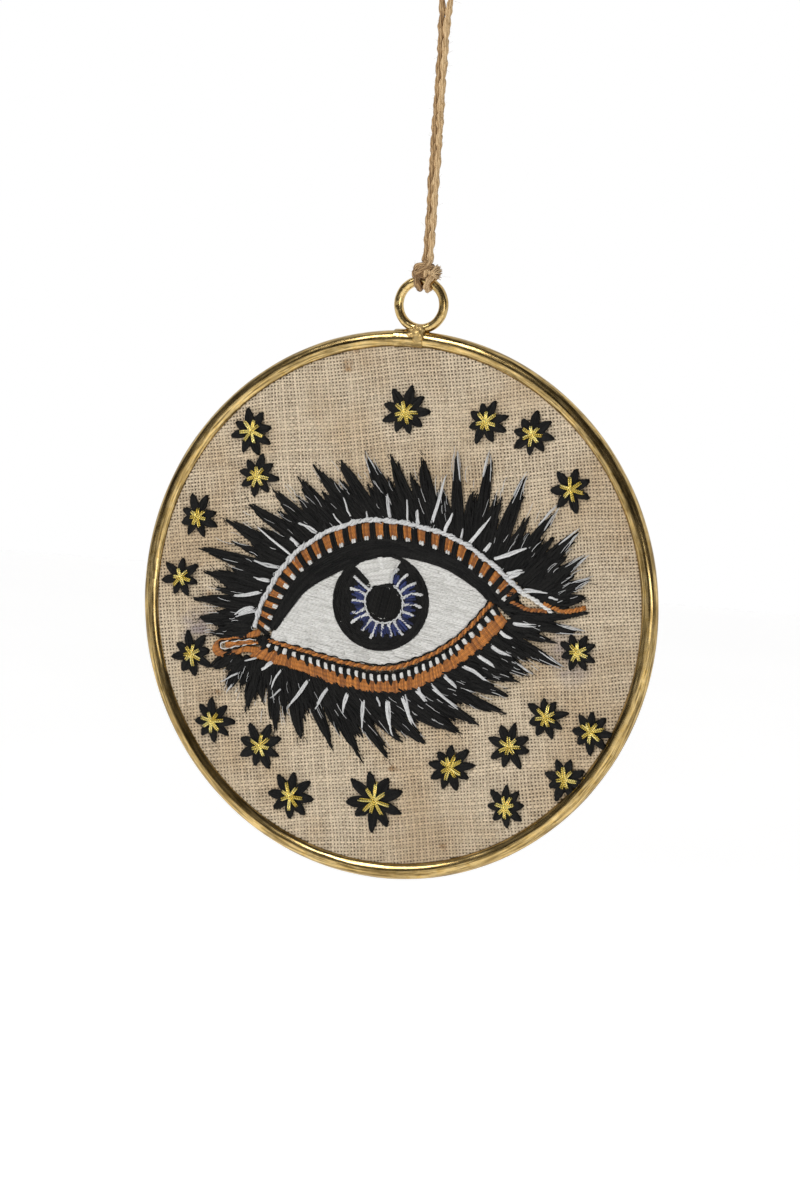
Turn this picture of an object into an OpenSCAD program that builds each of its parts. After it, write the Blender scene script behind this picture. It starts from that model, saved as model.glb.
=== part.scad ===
// Embroidered eye ornament: linen stretched in a round brass tube hoop, with a
// small brass ring on top and a doubled jute string knotted to it.
// Millimetres. +Z is up and the front faces -Y. The origin is the inside of the
// string loop's top, where the hook or nail bears.

/* [Hoop] */
// Outside diameter of the hoop
hoop_od = 115; // [110:1:120]
// Diameter of the hoop's tube
tube_d = 3.6; // [3.2:0.1:4]
// Wall of the tube
tube_wall = 0.4; // [0.3:0.05:0.5]
// Length of the sleeve over the hoop's joint
sleeve_len = 6.4; // [4:0.2:9]
// Wall of that sleeve
sleeve_wall = 0.3; // [0.2:0.05:0.4]

/* [Ring] */
// Inside diameter of the hanging ring
ring_id = 8; // [7.5:0.5:9]
// Diameter of the ring's wire
wire_d = 2; // [1.8:0.1:2.2]
// Depth of the filed seat by which the ring sits down on the sleeve
seat_depth = 0.8; // [0.4:0.1:0.9]

/* [String] */
// Diameter of one string
string_d = 1.3; // [1:0.1:1.4]
// Clearance between the string's turns and the ring's wire
turn_gap = 0.3; // [0.25:0.05:0.4]

/* [Cloth] */
// Thickness of the linen
linen_t = 0.4; // [0.3:0.05:0.5]
// Thickness of the wadding under it
pad_t = 0.3; // [0.2:0.05:0.4]
// Thickness of the card
card_t = 0.6; // [0.5:0.05:0.7]
// Thickness of the backing
back_t = 0.3; // [0.2:0.05:0.4]
// Turn of the cloth in the hoop, counter-clockwise from the front
cloth_turn = 10; // [0:1:20]
// Height of one layer of stitches
stitch_t = 0.4; // [0.3:0.05:0.5]

/* [Eye] */
// Radius of the iris
iris_r = 11; // [10.5:0.25:11.5]
// Radius of the pupil
pupil_r = 3.9; // [3.5:0.1:4.2]
// Number of blue spokes round the pupil
spokes = 17; // [13:1:19]
// Number of black bars across the upper lid
lid_bars = 26; // [20:1:28]
// Number of white dashes along the lower lid
lid_dashes = 22; // [16:1:24]
// Width of a lash at its widest
lash_w = 3; // [2.4:0.2:3.4]

/* [Flowers] */
// Petals of one flower
petals = 8; // [7:1:9]
// Width of a petal
petal_w = 2.1; // [1.6:0.1:2.4]

/* [Hidden] */
$fn = 96;

// Smallest gap left between parts that would otherwise only just touch
hair = 0.02;
// Height from the ring's centre to the inside of the loop's top, as ROUTE has it
hang_height = 78;

// Hoop and ring places
tube_r = tube_d / 2;
hoop_r = hoop_od / 2 - tube_r;
sleeve_r = tube_r + sleeve_wall;
ring_r = (ring_id + wire_d) / 2;
ring_z = -hang_height;
hoop_z = ring_z - ring_r - wire_d / 2 + seat_depth - sleeve_r - hoop_r;
// Share of the sleeve that lies to the right of the top, and the depth of its open side
sleeve_right = 0.22;
sleeve_open = 1.2;
// Spheres that the brazing is drawn round: [across, back, up] from the tube's top line, radius
BEAD = [[[0.3, -1.5, 2.1], 0.9], [[-1.5, -1.5, 1.3], 0.6], [[1.1, -1.8, 0.9], 0.6],
    [[-0.4, -2, 0.4], 0.6]];

// The stack of cloth and card fills the slit in the tube, centred on its middle
stack_t = linen_t + pad_t + card_t + back_t;
front_y = -stack_t / 2;
disc_r = hoop_r + 0.6;
slit_r = hoop_r - sqrt(pow(tube_r, 2) - pow(stack_t / 2, 2));

// Stitches over stitches, and the topmost ones in the iris
over_t = 0.3;
top_layer = 1 + over_t / stitch_t;
top_t = 0.2;

// The string's turns round the ring's wire
turn_r = wire_d / 2 + turn_gap + string_d / 2;
turn_x = 1.4;
wire_top_z = ring_z + ring_r;
knot_r = 1.95;
knot_z = wire_top_z + 2.45;
knot_x = 0.65;
knot_gap = 0.12;
tail_len = 2.4;
tail_y = -0.6;
tail_lean = 15;

// Centre line of the string: out of the knot, up, round the loop and back
ROUTE = [
    [0, 0, -69], [0, 0, -66], [0, 0.1, -61], [-0.1, 0.1, -56], [-0.2, 0, -51],
    [-0.2, -0.1, -46], [-0.3, -0.1, -41], [-0.4, 0, -36], [-0.5, 0.1, -31],
    [-0.6, 0.1, -26], [-0.7, 0, -21], [-0.8, 0, -17], [-1.2, 0, -13], [-2.1, 0, -9],
    [-3.1, 0, -6], [-3.6, 0, -3], [-3.1, 0, -1], [-1.8, 0, 0.2], [0, 0, 0.65],
    [1.8, 0, 0.2], [3.1, 0, -1], [3.6, 0, -3], [3.1, 0, -6], [2.1, 0, -9],
    [1.2, 0, -13], [0.8, 0, -17], [0.7, 0, -21], [0.8, 0, -26], [0.9, -0.1, -31],
    [0.9, -0.1, -36], [1, 0, -41], [1.1, 0.1, -46], [1.1, 0.1, -51], [1.2, 0, -56],
    [1.3, 0, -61], [1.3, 0, -66], [1.3, 0, -69]
];
string_foot_z = ROUTE[0][2];

// Eye curves in the cloth's own frame, left to right: [across, up] from the hoop's centre
SCLERA_TOP = [[-29, -5], [-24, 0.5], [-19, 5], [-11, 8.3], [-3, 10.3], [4, 9.6],
    [12, 6.8], [18, 2.6], [21, -0.6]];
LID_INNER = [[-29.6, -4.6], [-26, 2], [-21, 8], [-14, 11.9], [-5, 14.1], [5, 12.9],
    [14, 9.1], [21, 3.2], [25, -1.8]];
LID_OUTER = [[-31.6, -2.4], [-29, 3.2], [-23, 10.6], [-15, 15.5], [-5, 17.8], [5, 16.2],
    [15, 12.2], [23, 5.6], [28, 0]];
OUTLINE = [[-32.7, -2.2], [-30, 3.4], [-23.6, 11.4], [-15.4, 16.4], [-5, 18.7], [5, 17.1],
    [15.4, 13.1], [23.6, 6.6], [29, 1]];
SCLERA_LOW = [[-29, -5], [-21, -7.5], [-12, -10.5], [-3, -12.2], [6, -10.6], [14, -6.8],
    [21, -0.6]];
LINE_LOW = [[-29.6, -5.6], [-21, -8.8], [-12, -12], [-3, -14], [6, -12.1], [14, -8.2],
    [22.4, -1.4]];
TEETH_LOW = [[-31.5, -6.4], [-21, -11.4], [-12, -14.8], [-3, -16.6], [6, -14.8],
    [15, -10.2], [24, -3.4]];
BAND_LOW = [[-33.5, -8.2], [-21, -13], [-12, -16.8], [-3, -18.5], [6, -16.8],
    [16, -12], [25, -5]];

// Lash tips, left to right
UPPER_TIPS = [[-43, -3], [-46, 0.5], [-46.5, 5], [-43.5, 11], [-44, 15.5], [-38, 21.5],
    [-32, 24.5], [-26.5, 27], [-20, 29], [-16, 31.5], [-10.5, 32.5], [-4, 32.5], [1.5, 32],
    [8.5, 32], [16.5, 31.5], [24, 30.5], [31.5, 25], [37.5, 17.5], [42, 12.5], [43.5, 7.5],
    [44, 2.5], [42.5, -1.5]];
LOWER_TIPS = [[-43.5, -10.5], [-40, -15.5], [-36, -20.5], [-29.5, -25.5], [-23.5, -28],
    [-16.5, -30], [-10, -33], [-3, -33], [0, -29.5], [5.5, -30.5], [10.5, -27.5],
    [13.5, -28], [17, -26.5], [23, -24.5], [24, -20.5], [26.5, -18], [29, -16.5],
    [36, -15.5], [41, -8.5]];
LASH_ROOTS_UP = [[-33, -3], [-30, 3], [-23.6, 11], [-15.4, 16], [-5, 18.3], [5, 16.7],
    [15.4, 12.7], [23.6, 6.2], [30, 0.5], [33, -2.5]];
LASH_ROOTS_LOW = [[-37, -8], [-30, -9.4], [-21, -12.6], [-12, -16.4], [-3, -18.1],
    [6, -16.4], [16, -11.6], [25, -5]];

// Loop at the left corner, and the dark corner and strokes at the right one
TEAR_OUTER = [[-30.5, -2.6], [-34, -3.4], [-38, -4], [-41, -4.6], [-42.3, -6.4],
    [-41, -8], [-38, -8.3], [-35, -7.4], [-33.5, -8.2], [-31.5, -6.4], [-31, -5]];
TEAR_HOLE = [[-34.4, -4.9], [-37, -4.9], [-39.6, -4.9], [-40, -5.6], [-39.4, -6.4],
    [-37.6, -6.3], [-34.6, -5.9]];
TAIL_UPPER = [[26, -1.1], [30, -3.2], [34, -3.9], [38, -4.3], [42, -3.6]];
TAIL_LOWER = [[26, -3.6], [30, -5.2], [34, -5.7], [38, -5.3], [42.5, -4.6]];
DARK_CORNER = [[21, -0.6], [25, -1.8], [28, 0.3], [29, -1.4], [28, -4.6], [25, -5],
    [22.4, -1.4]];
LIGHT_UPPER = [[29, 1], [31, -0.6], [34.5, -3.3]];
LIGHT_LOWER = [[28, 0], [31, -2], [34.5, -3.7]];
tail_stitches = 7;

// Iris, pupil and the light in the eye
iris_c = [-3, 1];
pupil_c = [-2.2, 0.7];
GLINT = [[-7.9, 9.6], [-3, 11.5], [2.4, 10.4], [1.6, 8.4], [0.4, 6], [0, 4.2], [-2.2, 4],
    [-4.8, 4.2], [-5.6, 5.8], [-7.2, 7.6]];
spoke_in = pupil_r + 0.6;
spoke_out = 7.6;
blue_w = 1.3;
grey_w = 0.55;
grey_reach = 8.2;
grey_step = 0.9;
spokes_from = 118;
spokes_turn = 304;

// Widths of the stitched blocks
bar_w = 1.3;
tip_w = 1.2;
tip_share = 0.3;
dash_w = 0.9;
light_w = 0.6;
tail_w = 0.9;
gold_w = 0.5;

// Flowers: [across, up, reach of the petals]
STARS = [
    [-29, 39, 4.8], [-28.5, 29.5, 4.5], [-43, 22, 4.5], [-48, 9.5, 4.2], [-47, -7, 4.8],
    [-43.5, -21.5, 4.7], [-33, -27.5, 5], [-27, -38.5, 5.2], [-8, -40.5, 6.6],
    [9.5, -34.5, 5], [23, -31, 4.6], [31.5, -25.5, 4.5], [41, -29, 4.6], [34.5, -38.5, 4.6],
    [21, -43.5, 4.4], [39.5, -12.5, 4.2], [41, 21, 4.9], [33.5, 33, 4.6], [23.5, 36.5, 4.6],
    [6, 40, 5.2]
];
star_turn = 37;
gold_turn = 11;
gold_share = 0.62;

// ---------- curves ----------

function pick(p, i) = p[max(0, min(len(p) - 1, i))];

function smooth_at(p, i, t) =
    let (a = pick(p, i - 1), b = pick(p, i), c = pick(p, i + 1), d = pick(p, i + 2))
    0.5 * (2 * b + (c - a) * t + (2 * a - 5 * b + 4 * c - d) * t * t
        + (3 * b - 3 * c + d - a) * t * t * t);

// Smooth curve through the points, with n steps between each two
function smooth(p, n = 4) = concat(
    [for (i = [0:len(p) - 2]) for (k = [0:n - 1]) smooth_at(p, i, k / n)],
    [p[len(p) - 1]]
);

// Point at fraction f along that curve, counted in points
function along(p, f) =
    let (s = f * (len(p) - 1), i = min(floor(s), len(p) - 2))
    smooth_at(p, i, s - i);

function reversed(p) = [for (i = [len(p) - 1:-1:0]) p[i]];
function between(a, b) = concat(smooth(a), reversed(smooth(b)));
function unit(v) = v / norm(v);
function mixed(a, b, f) = a * (1 - f) + b * f;

// ---------- sketches on the cloth ----------

// Sets a flat sketch on the cloth, a number of layers up, as thick as t
module on_cloth(layer = 0, t = stitch_t) {
    translate([0, front_y - layer * stitch_t, hoop_z])
        rotate([90, 0, 0])
            rotate([0, 0, cloth_turn])
                linear_extrude(t) children();
}

// Spindle from a to b, blunt at a and pointed at b
module spindle(a, b, w, blunt = 0.7) {
    d = unit(b - a);
    s = [-d[1], d[0]] * w / 2;
    polygon([a + s * blunt, mixed(a, b, 0.35) + s, mixed(a, b, 0.75) + s * 0.55, b,
        mixed(a, b, 0.75) - s * 0.55, mixed(a, b, 0.35) - s, a - s * blunt]);
}

// Straight stitch from a to b with square ends
module bar(a, b, w) {
    d = unit(b - a);
    s = [-d[1], d[0]] * w / 2;
    polygon([a + s, b + s, b - s, a - s]);
}

module band(a, b) polygon(between(a, b));

// Everything inside the outer lines of the lids, which the lashes stop at
module eye_ground() {
    band(OUTLINE, BAND_LOW);
    band(LID_OUTER, LID_INNER);
    polygon(smooth(TEAR_OUTER));
    band(TAIL_UPPER, TAIL_LOWER);
    band(LIGHT_UPPER, LIGHT_LOWER);
    polygon(DARK_CORNER);
}

module lash_fan(roots, tips, side) {
    last = len(tips) - 1;
    for (i = [0:last]) spindle(along(roots, i / last), tips[i], lash_w);
    for (i = [0:last - 1]) {
        root = along(roots, (i + 0.5) / last);
        spindle(root, mixed(root, (tips[i] + tips[i + 1]) / 2, 0.62), lash_w * 0.9);
    }
}

module fan_lights(roots, tips) {
    last = len(tips) - 1;
    for (i = [1:last - 1]) {
        root = along(roots, (i + 0.5) / last);
        tip = (tips[i] + tips[i + 1]) / 2;
        bar(mixed(root, tip, 0.08), mixed(root, tip, 0.3 + 0.12 * (i % 3)), light_w);
    }
}

module flower(star, turn, inner, w) {
    for (k = [0:petals - 1]) {
        a = turn + k * 360 / petals;
        d = [cos(a), sin(a)];
        c = [star[0], star[1]];
        spindle(c + d * inner, c + d * star[2], w, 0.45);
    }
}

module white_of_eye() polygon(between(SCLERA_TOP, SCLERA_LOW));

// ---------- string ----------

module cord_loop() {
    path = smooth(ROUTE, 2);
    last = len(path) - 1;
    sides = 8;
    points = [for (i = [0:last])
        let (d = unit(path[min(i + 1, last)] - path[max(i - 1, 0)]),
            n = unit(cross(d, [0, 1, 0])), m = cross(n, d))
        for (k = [0:sides - 1])
            path[i] + (n * cos(k * 360 / sides) + m * sin(k * 360 / sides)) * string_d / 2];
    walls = [for (i = [0:last - 1]) for (k = [0:sides - 1])
        [i * sides + k, i * sides + (k + 1) % sides,
            (i + 1) * sides + (k + 1) % sides, (i + 1) * sides + k]];
    foot = [for (k = [sides - 1:-1:0]) k];
    head = [for (k = [0:sides - 1]) last * sides + k];
    color("tan") polyhedron(points, concat([foot], walls, [head]));
}

// One turn of string round the wire, about a line along X through the wire's top
module wire_turn(x) {
    translate([x, 0, wire_top_z])
        rotate([0, 90, 0])
            rotate_extrude() translate([turn_r, 0]) circle(d = string_d, $fn = 32);
}

// Knot over the wire, flat on top where the string's two feet stand
module ring_knot() {
    reach = turn_r + string_d / 2 + knot_gap;
    color("peru") {
        difference() {
            translate([knot_x, 0, knot_z]) sphere(r = knot_r);
            translate([knot_x - knot_r, -knot_r, string_foot_z - hair]) cube(2 * knot_r);
            for (side = [-1, 1])
                translate([side * turn_x, 0, wire_top_z]) rotate([0, 90, 0])
                    cylinder(r = reach, h = string_d + 2 * knot_gap, center = true);
            translate([0, 0, wire_top_z])
                rotate([0, 90, 0]) cylinder(r = turn_r, h = 2 * turn_x, center = true);
        }
        wire_turn(0);
    }
}

module knot_wrap() {
    color("burlywood") {
        wire_turn(-turn_x);
        wire_turn(turn_x);
    }
}

module knot_tail() {
    color("tan") translate([knot_x + knot_r + hair, tail_y, knot_z])
        rotate([0, 90 + tail_lean, 0]) cylinder(d = string_d, h = tail_len);
}

// ---------- metal ----------

module hanging_ring() {
    color("gold") difference() {
        translate([0, 0, ring_z])
            rotate([90, 0, 0]) rotate_extrude() translate([ring_r, 0]) circle(d = wire_d);
        translate([0, 0, hoop_z + hoop_r])
            rotate([0, 90, 0]) cylinder(r = sleeve_r + hair, h = 3 * wire_d, center = true);
    }
}

// Tube with its inner side slit to the thickness of the cloth and card
module hoop_tube() {
    color("goldenrod") translate([0, 0, hoop_z]) rotate([90, 0, 0]) rotate_extrude($fn = 180)
        difference() {
            translate([hoop_r, 0]) circle(d = tube_d);
            translate([hoop_r, 0]) circle(d = tube_d - 2 * tube_wall);
            translate([hoop_r - tube_d, -stack_t / 2]) square([tube_d, stack_t]);
        }
}

// Sleeve that laps the joint of the hoop, open on the inside like the tube
module seam_sleeve() {
    span = sleeve_len / hoop_r * 180 / PI;
    start = 90 - span * sleeve_right;
    color("khaki") translate([0, 0, hoop_z]) rotate([90, 0, 0]) rotate([0, 0, start])
        rotate_extrude(angle = span) difference() {
            translate([hoop_r, 0]) circle(r = sleeve_r);
            translate([hoop_r, 0]) circle(d = tube_d);
            translate([hoop_r - tube_d, -tube_r]) square([tube_d - sleeve_open, tube_d]);
        }
}

// Brazing between the ring and the sleeve, with a run down the front
module solder_bead() {
    top_z = hoop_z + hoop_r;
    color("gold") difference() {
        translate([0, 0, top_z]) hull()
            for (ball = BEAD) translate(ball[0]) sphere(r = ball[1], $fn = 24);
        translate([0, 0, top_z]) rotate([0, 90, 0])
            cylinder(r = sleeve_r + 2 * hair, h = 3 * tube_d, center = true);
        translate([0, 0, ring_z]) rotate([90, 0, 0]) rotate_extrude()
            translate([ring_r, 0]) circle(d = wire_d + 2 * hair);
    }
}

// ---------- disc ----------

module disc_layer(y, t, r) {
    translate([0, y + t, hoop_z]) rotate([90, 0, 0]) cylinder(r = r, h = t, $fn = 180);
}

module face_linen() color("tan") disc_layer(front_y, linen_t, disc_r);
module felt_pad() color("white") disc_layer(front_y + linen_t, pad_t, disc_r);
module card_core() color("sienna") disc_layer(front_y + linen_t + pad_t, card_t, disc_r);
module back_felt()
    color("saddlebrown") disc_layer(front_y + linen_t + pad_t + card_t, back_t, disc_r);

// ---------- stitches ----------

module upper_lashes() color("black") on_cloth() difference() {
    lash_fan(LASH_ROOTS_UP, UPPER_TIPS);
    eye_ground();
}

module lower_lashes() color("dimgray") on_cloth() difference() {
    lash_fan(LASH_ROOTS_LOW, LOWER_TIPS);
    eye_ground();
    lash_fan(LASH_ROOTS_UP, UPPER_TIPS);
}

module upper_lash_lights() color("lightgray") on_cloth(1, over_t) difference() {
    fan_lights(LASH_ROOTS_UP, UPPER_TIPS);
    eye_ground();
}

module lower_lash_lights() color("silver") on_cloth(1, over_t) difference() {
    fan_lights(LASH_ROOTS_LOW, LOWER_TIPS);
    eye_ground();
}

module sclera_satin() color("whitesmoke") on_cloth() white_of_eye();

function spoke_dir(k) =
    let (a = spokes_from + (k + 1) * spokes_turn / spokes) [cos(a), sin(a)];

module iris_black() color("black") on_cloth(1, over_t) difference() {
    intersection() {
        translate(iris_c) circle(r = iris_r);
        white_of_eye();
    }
    polygon(GLINT);
    translate(pupil_c) circle(r = pupil_r);
}

module pupil() color("dimgray") on_cloth(1, over_t) translate(pupil_c) circle(r = pupil_r);
module glint() color("white") on_cloth(1, over_t) difference() {
    intersection() {
        polygon(GLINT);
        white_of_eye();
    }
    translate(pupil_c) circle(r = pupil_r);
}

module iris_blue() color("royalblue") on_cloth(top_layer, top_t) difference() {
    for (k = [0:spokes - 2]) {
        d = spoke_dir(k + 0.5);
        bar(pupil_c + d * spoke_in, pupil_c + d * spoke_out, blue_w);
    }
    polygon(GLINT);
    for (k = [0:spokes - 1])
        bar(pupil_c + spoke_dir(k) * pupil_r, pupil_c + spoke_dir(k) * iris_r,
            grey_w + 2 * hair);
}

module iris_grey() color("silver") on_cloth(top_layer, top_t) difference() {
    for (k = [0:spokes - 1]) {
        d = spoke_dir(k);
        bar(pupil_c + d * spoke_in, pupil_c + d * (grey_reach + grey_step * (k % 2)), grey_w);
    }
    polygon(GLINT);
}

module upper_lid_black() color("black") on_cloth() band(LID_INNER, SCLERA_TOP);
module upper_lid_orange() color("chocolate") on_cloth() band(LID_OUTER, LID_INNER);
module upper_lid_outline() color("lightgray") on_cloth() band(OUTLINE, LID_OUTER);

module lid_bar_blocks()
    for (k = [0:lid_bars - 1]) {
        f = (k + 0.5) / lid_bars;
        bar(along(LID_INNER, f), along(LID_OUTER, f), bar_w);
    }

module upper_lid_bars() color("black") on_cloth(1, over_t) lid_bar_blocks();

module upper_lid_tips() color("white") on_cloth(1, over_t) difference() {
    for (k = [1:lid_bars - 1]) {
        f = k / lid_bars;
        root = along(LID_INNER, f);
        bar(root, mixed(root, along(LID_OUTER, f), tip_share), tip_w);
    }
    lid_bar_blocks();
}

module lower_lid_line() color("orange") on_cloth() band(SCLERA_LOW, LINE_LOW);
module lower_lid_black() color("black") on_cloth() band(LINE_LOW, TEETH_LOW);
module lower_lid_orange() color("chocolate") on_cloth() difference() {
    band(TEETH_LOW, BAND_LOW);
    polygon(smooth(TEAR_OUTER));
}

module lower_lid_dashes() color("white") on_cloth(1, over_t)
    for (k = [1:lid_dashes]) {
        f = k / (lid_dashes + 1);
        bar(mixed(along(LINE_LOW, f), along(TEETH_LOW, f), 0.4), along(TEETH_LOW, f), dash_w);
    }

// All the rows of the two lids but the lowest
module eye_bands() {
    band(OUTLINE, LID_OUTER);
    band(LID_OUTER, LID_INNER);
    band(LID_INNER, SCLERA_TOP);
    band(SCLERA_TOP, TEETH_LOW);
    band(LINE_LOW, TEETH_LOW);
}

module tear_loop() color("chocolate") on_cloth() difference() {
    polygon(smooth(TEAR_OUTER));
    polygon(smooth(TEAR_HOLE));
    eye_bands();
}

module tear_loop_white() color("white") on_cloth() difference() {
    polygon(smooth(TEAR_HOLE));
    eye_bands();
}

// Dark corner behind the outer ends of both lids, and the stroke that runs out of it
module tail_black() color("black") on_cloth() difference() {
    union() {
        polygon(DARK_CORNER);
        band(TAIL_UPPER, TAIL_LOWER);
    }
    eye_bands();
    band(TEETH_LOW, BAND_LOW);
}

module tail_orange() color("orange") on_cloth(1, over_t) difference() {
    for (k = [0:tail_stitches - 1])
        spindle(along(TAIL_UPPER, k / tail_stitches),
            along(TAIL_UPPER, (k + 1) / tail_stitches), tail_w);
    lid_bar_blocks();
}

module tail_white() color("white") on_cloth() difference() {
    band(LIGHT_UPPER, LIGHT_LOWER);
    eye_bands();
    band(TAIL_UPPER, TAIL_LOWER);
    polygon(DARK_CORNER);
}

module star_petals() color("black") on_cloth() difference() {
    intersection() {
        for (i = [0:len(STARS) - 1]) flower(STARS[i], i * star_turn, 0.5, petal_w);
        circle(r = slit_r);
    }
    lash_fan(LASH_ROOTS_UP, UPPER_TIPS);
    lash_fan(LASH_ROOTS_LOW, LOWER_TIPS);
}

module star_gold() color("gold") on_cloth(1, over_t)
    for (i = [0:len(STARS) - 1]) {
        star = STARS[i];
        flower([star[0], star[1], star[2] * gold_share], i * star_turn + gold_turn, 0.3, gold_w);
    }

// ---------- nodes ----------

cord_loop();
ring_knot();
knot_tail();
knot_wrap();
hanging_ring();
solder_bead();
hoop_tube();
seam_sleeve();
card_core();
felt_pad();
back_felt();
face_linen();
upper_lashes();
lower_lashes();
upper_lash_lights();
lower_lash_lights();
sclera_satin();
iris_black();
iris_blue();
iris_grey();
pupil();
glint();
upper_lid_black();
upper_lid_orange();
upper_lid_bars();
upper_lid_tips();
upper_lid_outline();
lower_lid_line();
lower_lid_black();
lower_lid_dashes();
lower_lid_orange();
tear_loop();
tear_loop_white();
tail_black();
tail_orange();
tail_white();
star_petals();
star_gold();
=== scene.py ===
import functools
import math
import random

import bpy
import numpy as np
from mathutils import Matrix, Vector, noise


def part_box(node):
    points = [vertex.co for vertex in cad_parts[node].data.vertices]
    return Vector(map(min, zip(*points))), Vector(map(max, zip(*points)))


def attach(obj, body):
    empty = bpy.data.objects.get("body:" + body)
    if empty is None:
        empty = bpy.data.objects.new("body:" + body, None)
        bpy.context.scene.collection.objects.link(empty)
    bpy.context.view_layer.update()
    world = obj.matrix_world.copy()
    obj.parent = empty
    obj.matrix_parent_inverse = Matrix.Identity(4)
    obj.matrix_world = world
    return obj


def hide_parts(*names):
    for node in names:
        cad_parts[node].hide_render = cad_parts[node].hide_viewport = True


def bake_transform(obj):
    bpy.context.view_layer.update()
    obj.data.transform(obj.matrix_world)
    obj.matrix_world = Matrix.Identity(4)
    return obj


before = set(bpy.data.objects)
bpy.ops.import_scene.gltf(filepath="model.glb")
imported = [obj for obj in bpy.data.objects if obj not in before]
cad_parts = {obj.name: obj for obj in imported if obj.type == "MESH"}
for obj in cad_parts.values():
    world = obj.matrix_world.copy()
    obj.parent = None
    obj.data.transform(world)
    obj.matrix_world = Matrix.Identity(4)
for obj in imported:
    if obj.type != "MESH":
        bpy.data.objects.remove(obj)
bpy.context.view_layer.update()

# Evil eye ornament. The metal, cloth, stitches and string are built in millimetres
# round the places that the CAD frame gives, and are set down in metres.

MM = 0.001
ACROSS, BACK, UP = 0, 1, 2


def lowest(node):
    return np.array(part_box(node)[0]) / MM


def highest(node):
    return np.array(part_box(node)[1]) / MM


def half_width(node, axis):
    return (highest(node)[axis] - lowest(node)[axis]) / 2


# ---------- places and sizes, in millimetres ----------

HOOP = (np.array(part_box("hoop_tube")[0]) + np.array(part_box("hoop_tube")[1])) / 2 / MM
TUBE_R = half_width("hoop_tube", BACK)
HOOP_R = half_width("hoop_tube", ACROSS) - TUBE_R
SLEEVE_R = half_width("seam_sleeve", BACK)
WIRE_R = half_width("hanging_ring", BACK)
RING_R = half_width("hanging_ring", ACROSS) - WIRE_R
RING = np.array([0, 0, highest("hanging_ring")[UP] - RING_R - WIRE_R])
CLOTH_Y = lowest("face_linen")[BACK]
BACK_Y = highest("back_felt")[BACK]
SLIT_R = HOOP_R - math.sqrt(TUBE_R ** 2 - CLOTH_Y ** 2)
CLOTH_TURN = math.radians(10)

# Spacing of the yarns, and the radii that the two cloths are cut to, a little past the slit
WEAVE = 0.74
CLOTH_R = SLIT_R + 0.5
BACK_R = SLIT_R + 0.6

# Centre line of the string: out of the knot, round the loop, back
ROUTE = [(0, 0, -69), (0, 0, -66), (0, 0.1, -61), (-0.1, 0.1, -56), (-0.2, 0, -51), (-0.2, -0.1, -46),
    (-0.3, -0.1, -41), (-0.4, 0, -36), (-0.5, 0.1, -31), (-0.6, 0.1, -26), (-0.7, 0, -21),
    (-0.8, 0, -17), (-1.2, 0, -13), (-2.1, 0, -9), (-3.1, 0, -6), (-3.6, 0, -3), (-3.1, 0, -1),
    (-1.8, 0, 0.2), (0, 0, 0.65), (1.8, 0, 0.2), (3.1, 0, -1), (3.6, 0, -3), (3.1, 0, -6), (2.1, 0, -9),
    (1.2, 0, -13), (0.8, 0, -17), (0.7, 0, -21), (0.8, 0, -26), (0.9, -0.1, -31), (0.9, -0.1, -36),
    (1, 0, -41), (1.1, 0.1, -46), (1.1, 0.1, -51), (1.2, 0, -56), (1.3, 0, -61), (1.3, 0, -66),
    (1.3, 0, -69)]

# Lines of the eye on the cloth: (across, up) from the hoop's centre
SCLERA_TOP = [(-29, -5), (-24, 0.5), (-19, 5), (-11, 8.3), (-3, 10.3), (4, 9.6), (12, 6.8), (18, 2.6),
    (21, -0.6)]
LID_INNER = [(-29.6, -4.6), (-26, 2), (-21, 8), (-14, 11.9), (-5, 14.1), (5, 12.9), (14, 9.1),
    (21, 3.2), (25, -1.8)]
LID_OUTER = [(-31.6, -2.4), (-29, 3.2), (-23, 10.6), (-15, 15.5), (-5, 17.8), (5, 16.2), (15, 12.2),
    (23, 5.6), (28, 0)]
OUTLINE = [(-32.7, -2.2), (-30, 3.4), (-23.6, 11.4), (-15.4, 16.4), (-5, 18.7), (5, 17.1), (15.4, 13.1),
    (23.6, 6.6), (29, 1)]
SCLERA_LOW = [(-29, -5), (-21, -7.5), (-12, -10.5), (-3, -12.2), (6, -10.6), (14, -6.8), (21, -0.6)]
LINE_LOW = [(-29.6, -5.6), (-21, -8.8), (-12, -12), (-3, -14), (6, -12.1), (14, -8.2), (22.4, -1.4)]
TEETH_LOW = [(-31.5, -6.4), (-21, -11.4), (-12, -14.8), (-3, -16.6), (6, -14.8), (15, -10.2),
    (24, -3.4)]
BAND_LOW = [(-33.5, -8.2), (-21, -13), (-12, -16.8), (-3, -18.5), (6, -16.8), (16, -12), (25, -5)]

# Tips of the long lashes and the lines that they grow from, left to right
UPPER_TIPS = [(-43, -3), (-46, 0.5), (-46.5, 5), (-43.5, 11), (-44, 15.5), (-38, 21.5), (-32, 24.5),
    (-26.5, 27), (-20, 29), (-16, 31.5), (-10.5, 32.5), (-4, 32.5), (1.5, 32), (8.5, 32), (16.5, 31.5),
    (24, 30.5), (31.5, 25), (37.5, 17.5), (42, 12.5), (43.5, 7.5), (44, 2.5), (42.5, -1.5)]
LOWER_TIPS = [(-43.5, -10.5), (-40, -15.5), (-36, -20.5), (-29.5, -25.5), (-23.5, -28), (-16.5, -30),
    (-10, -33), (-3, -33), (0, -29.5), (5.5, -30.5), (10.5, -27.5), (13.5, -28), (17, -26.5),
    (23, -24.5), (24, -20.5), (26.5, -18), (29, -16.5), (36, -15.5), (41, -8.5)]
ROOTS_UP = [(-33, -3), (-30, 3), (-23.6, 11), (-15.4, 16), (-5, 18.3), (5, 16.7), (15.4, 12.7),
    (23.6, 6.2), (30, 0.5), (33, -2.5)]
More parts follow.
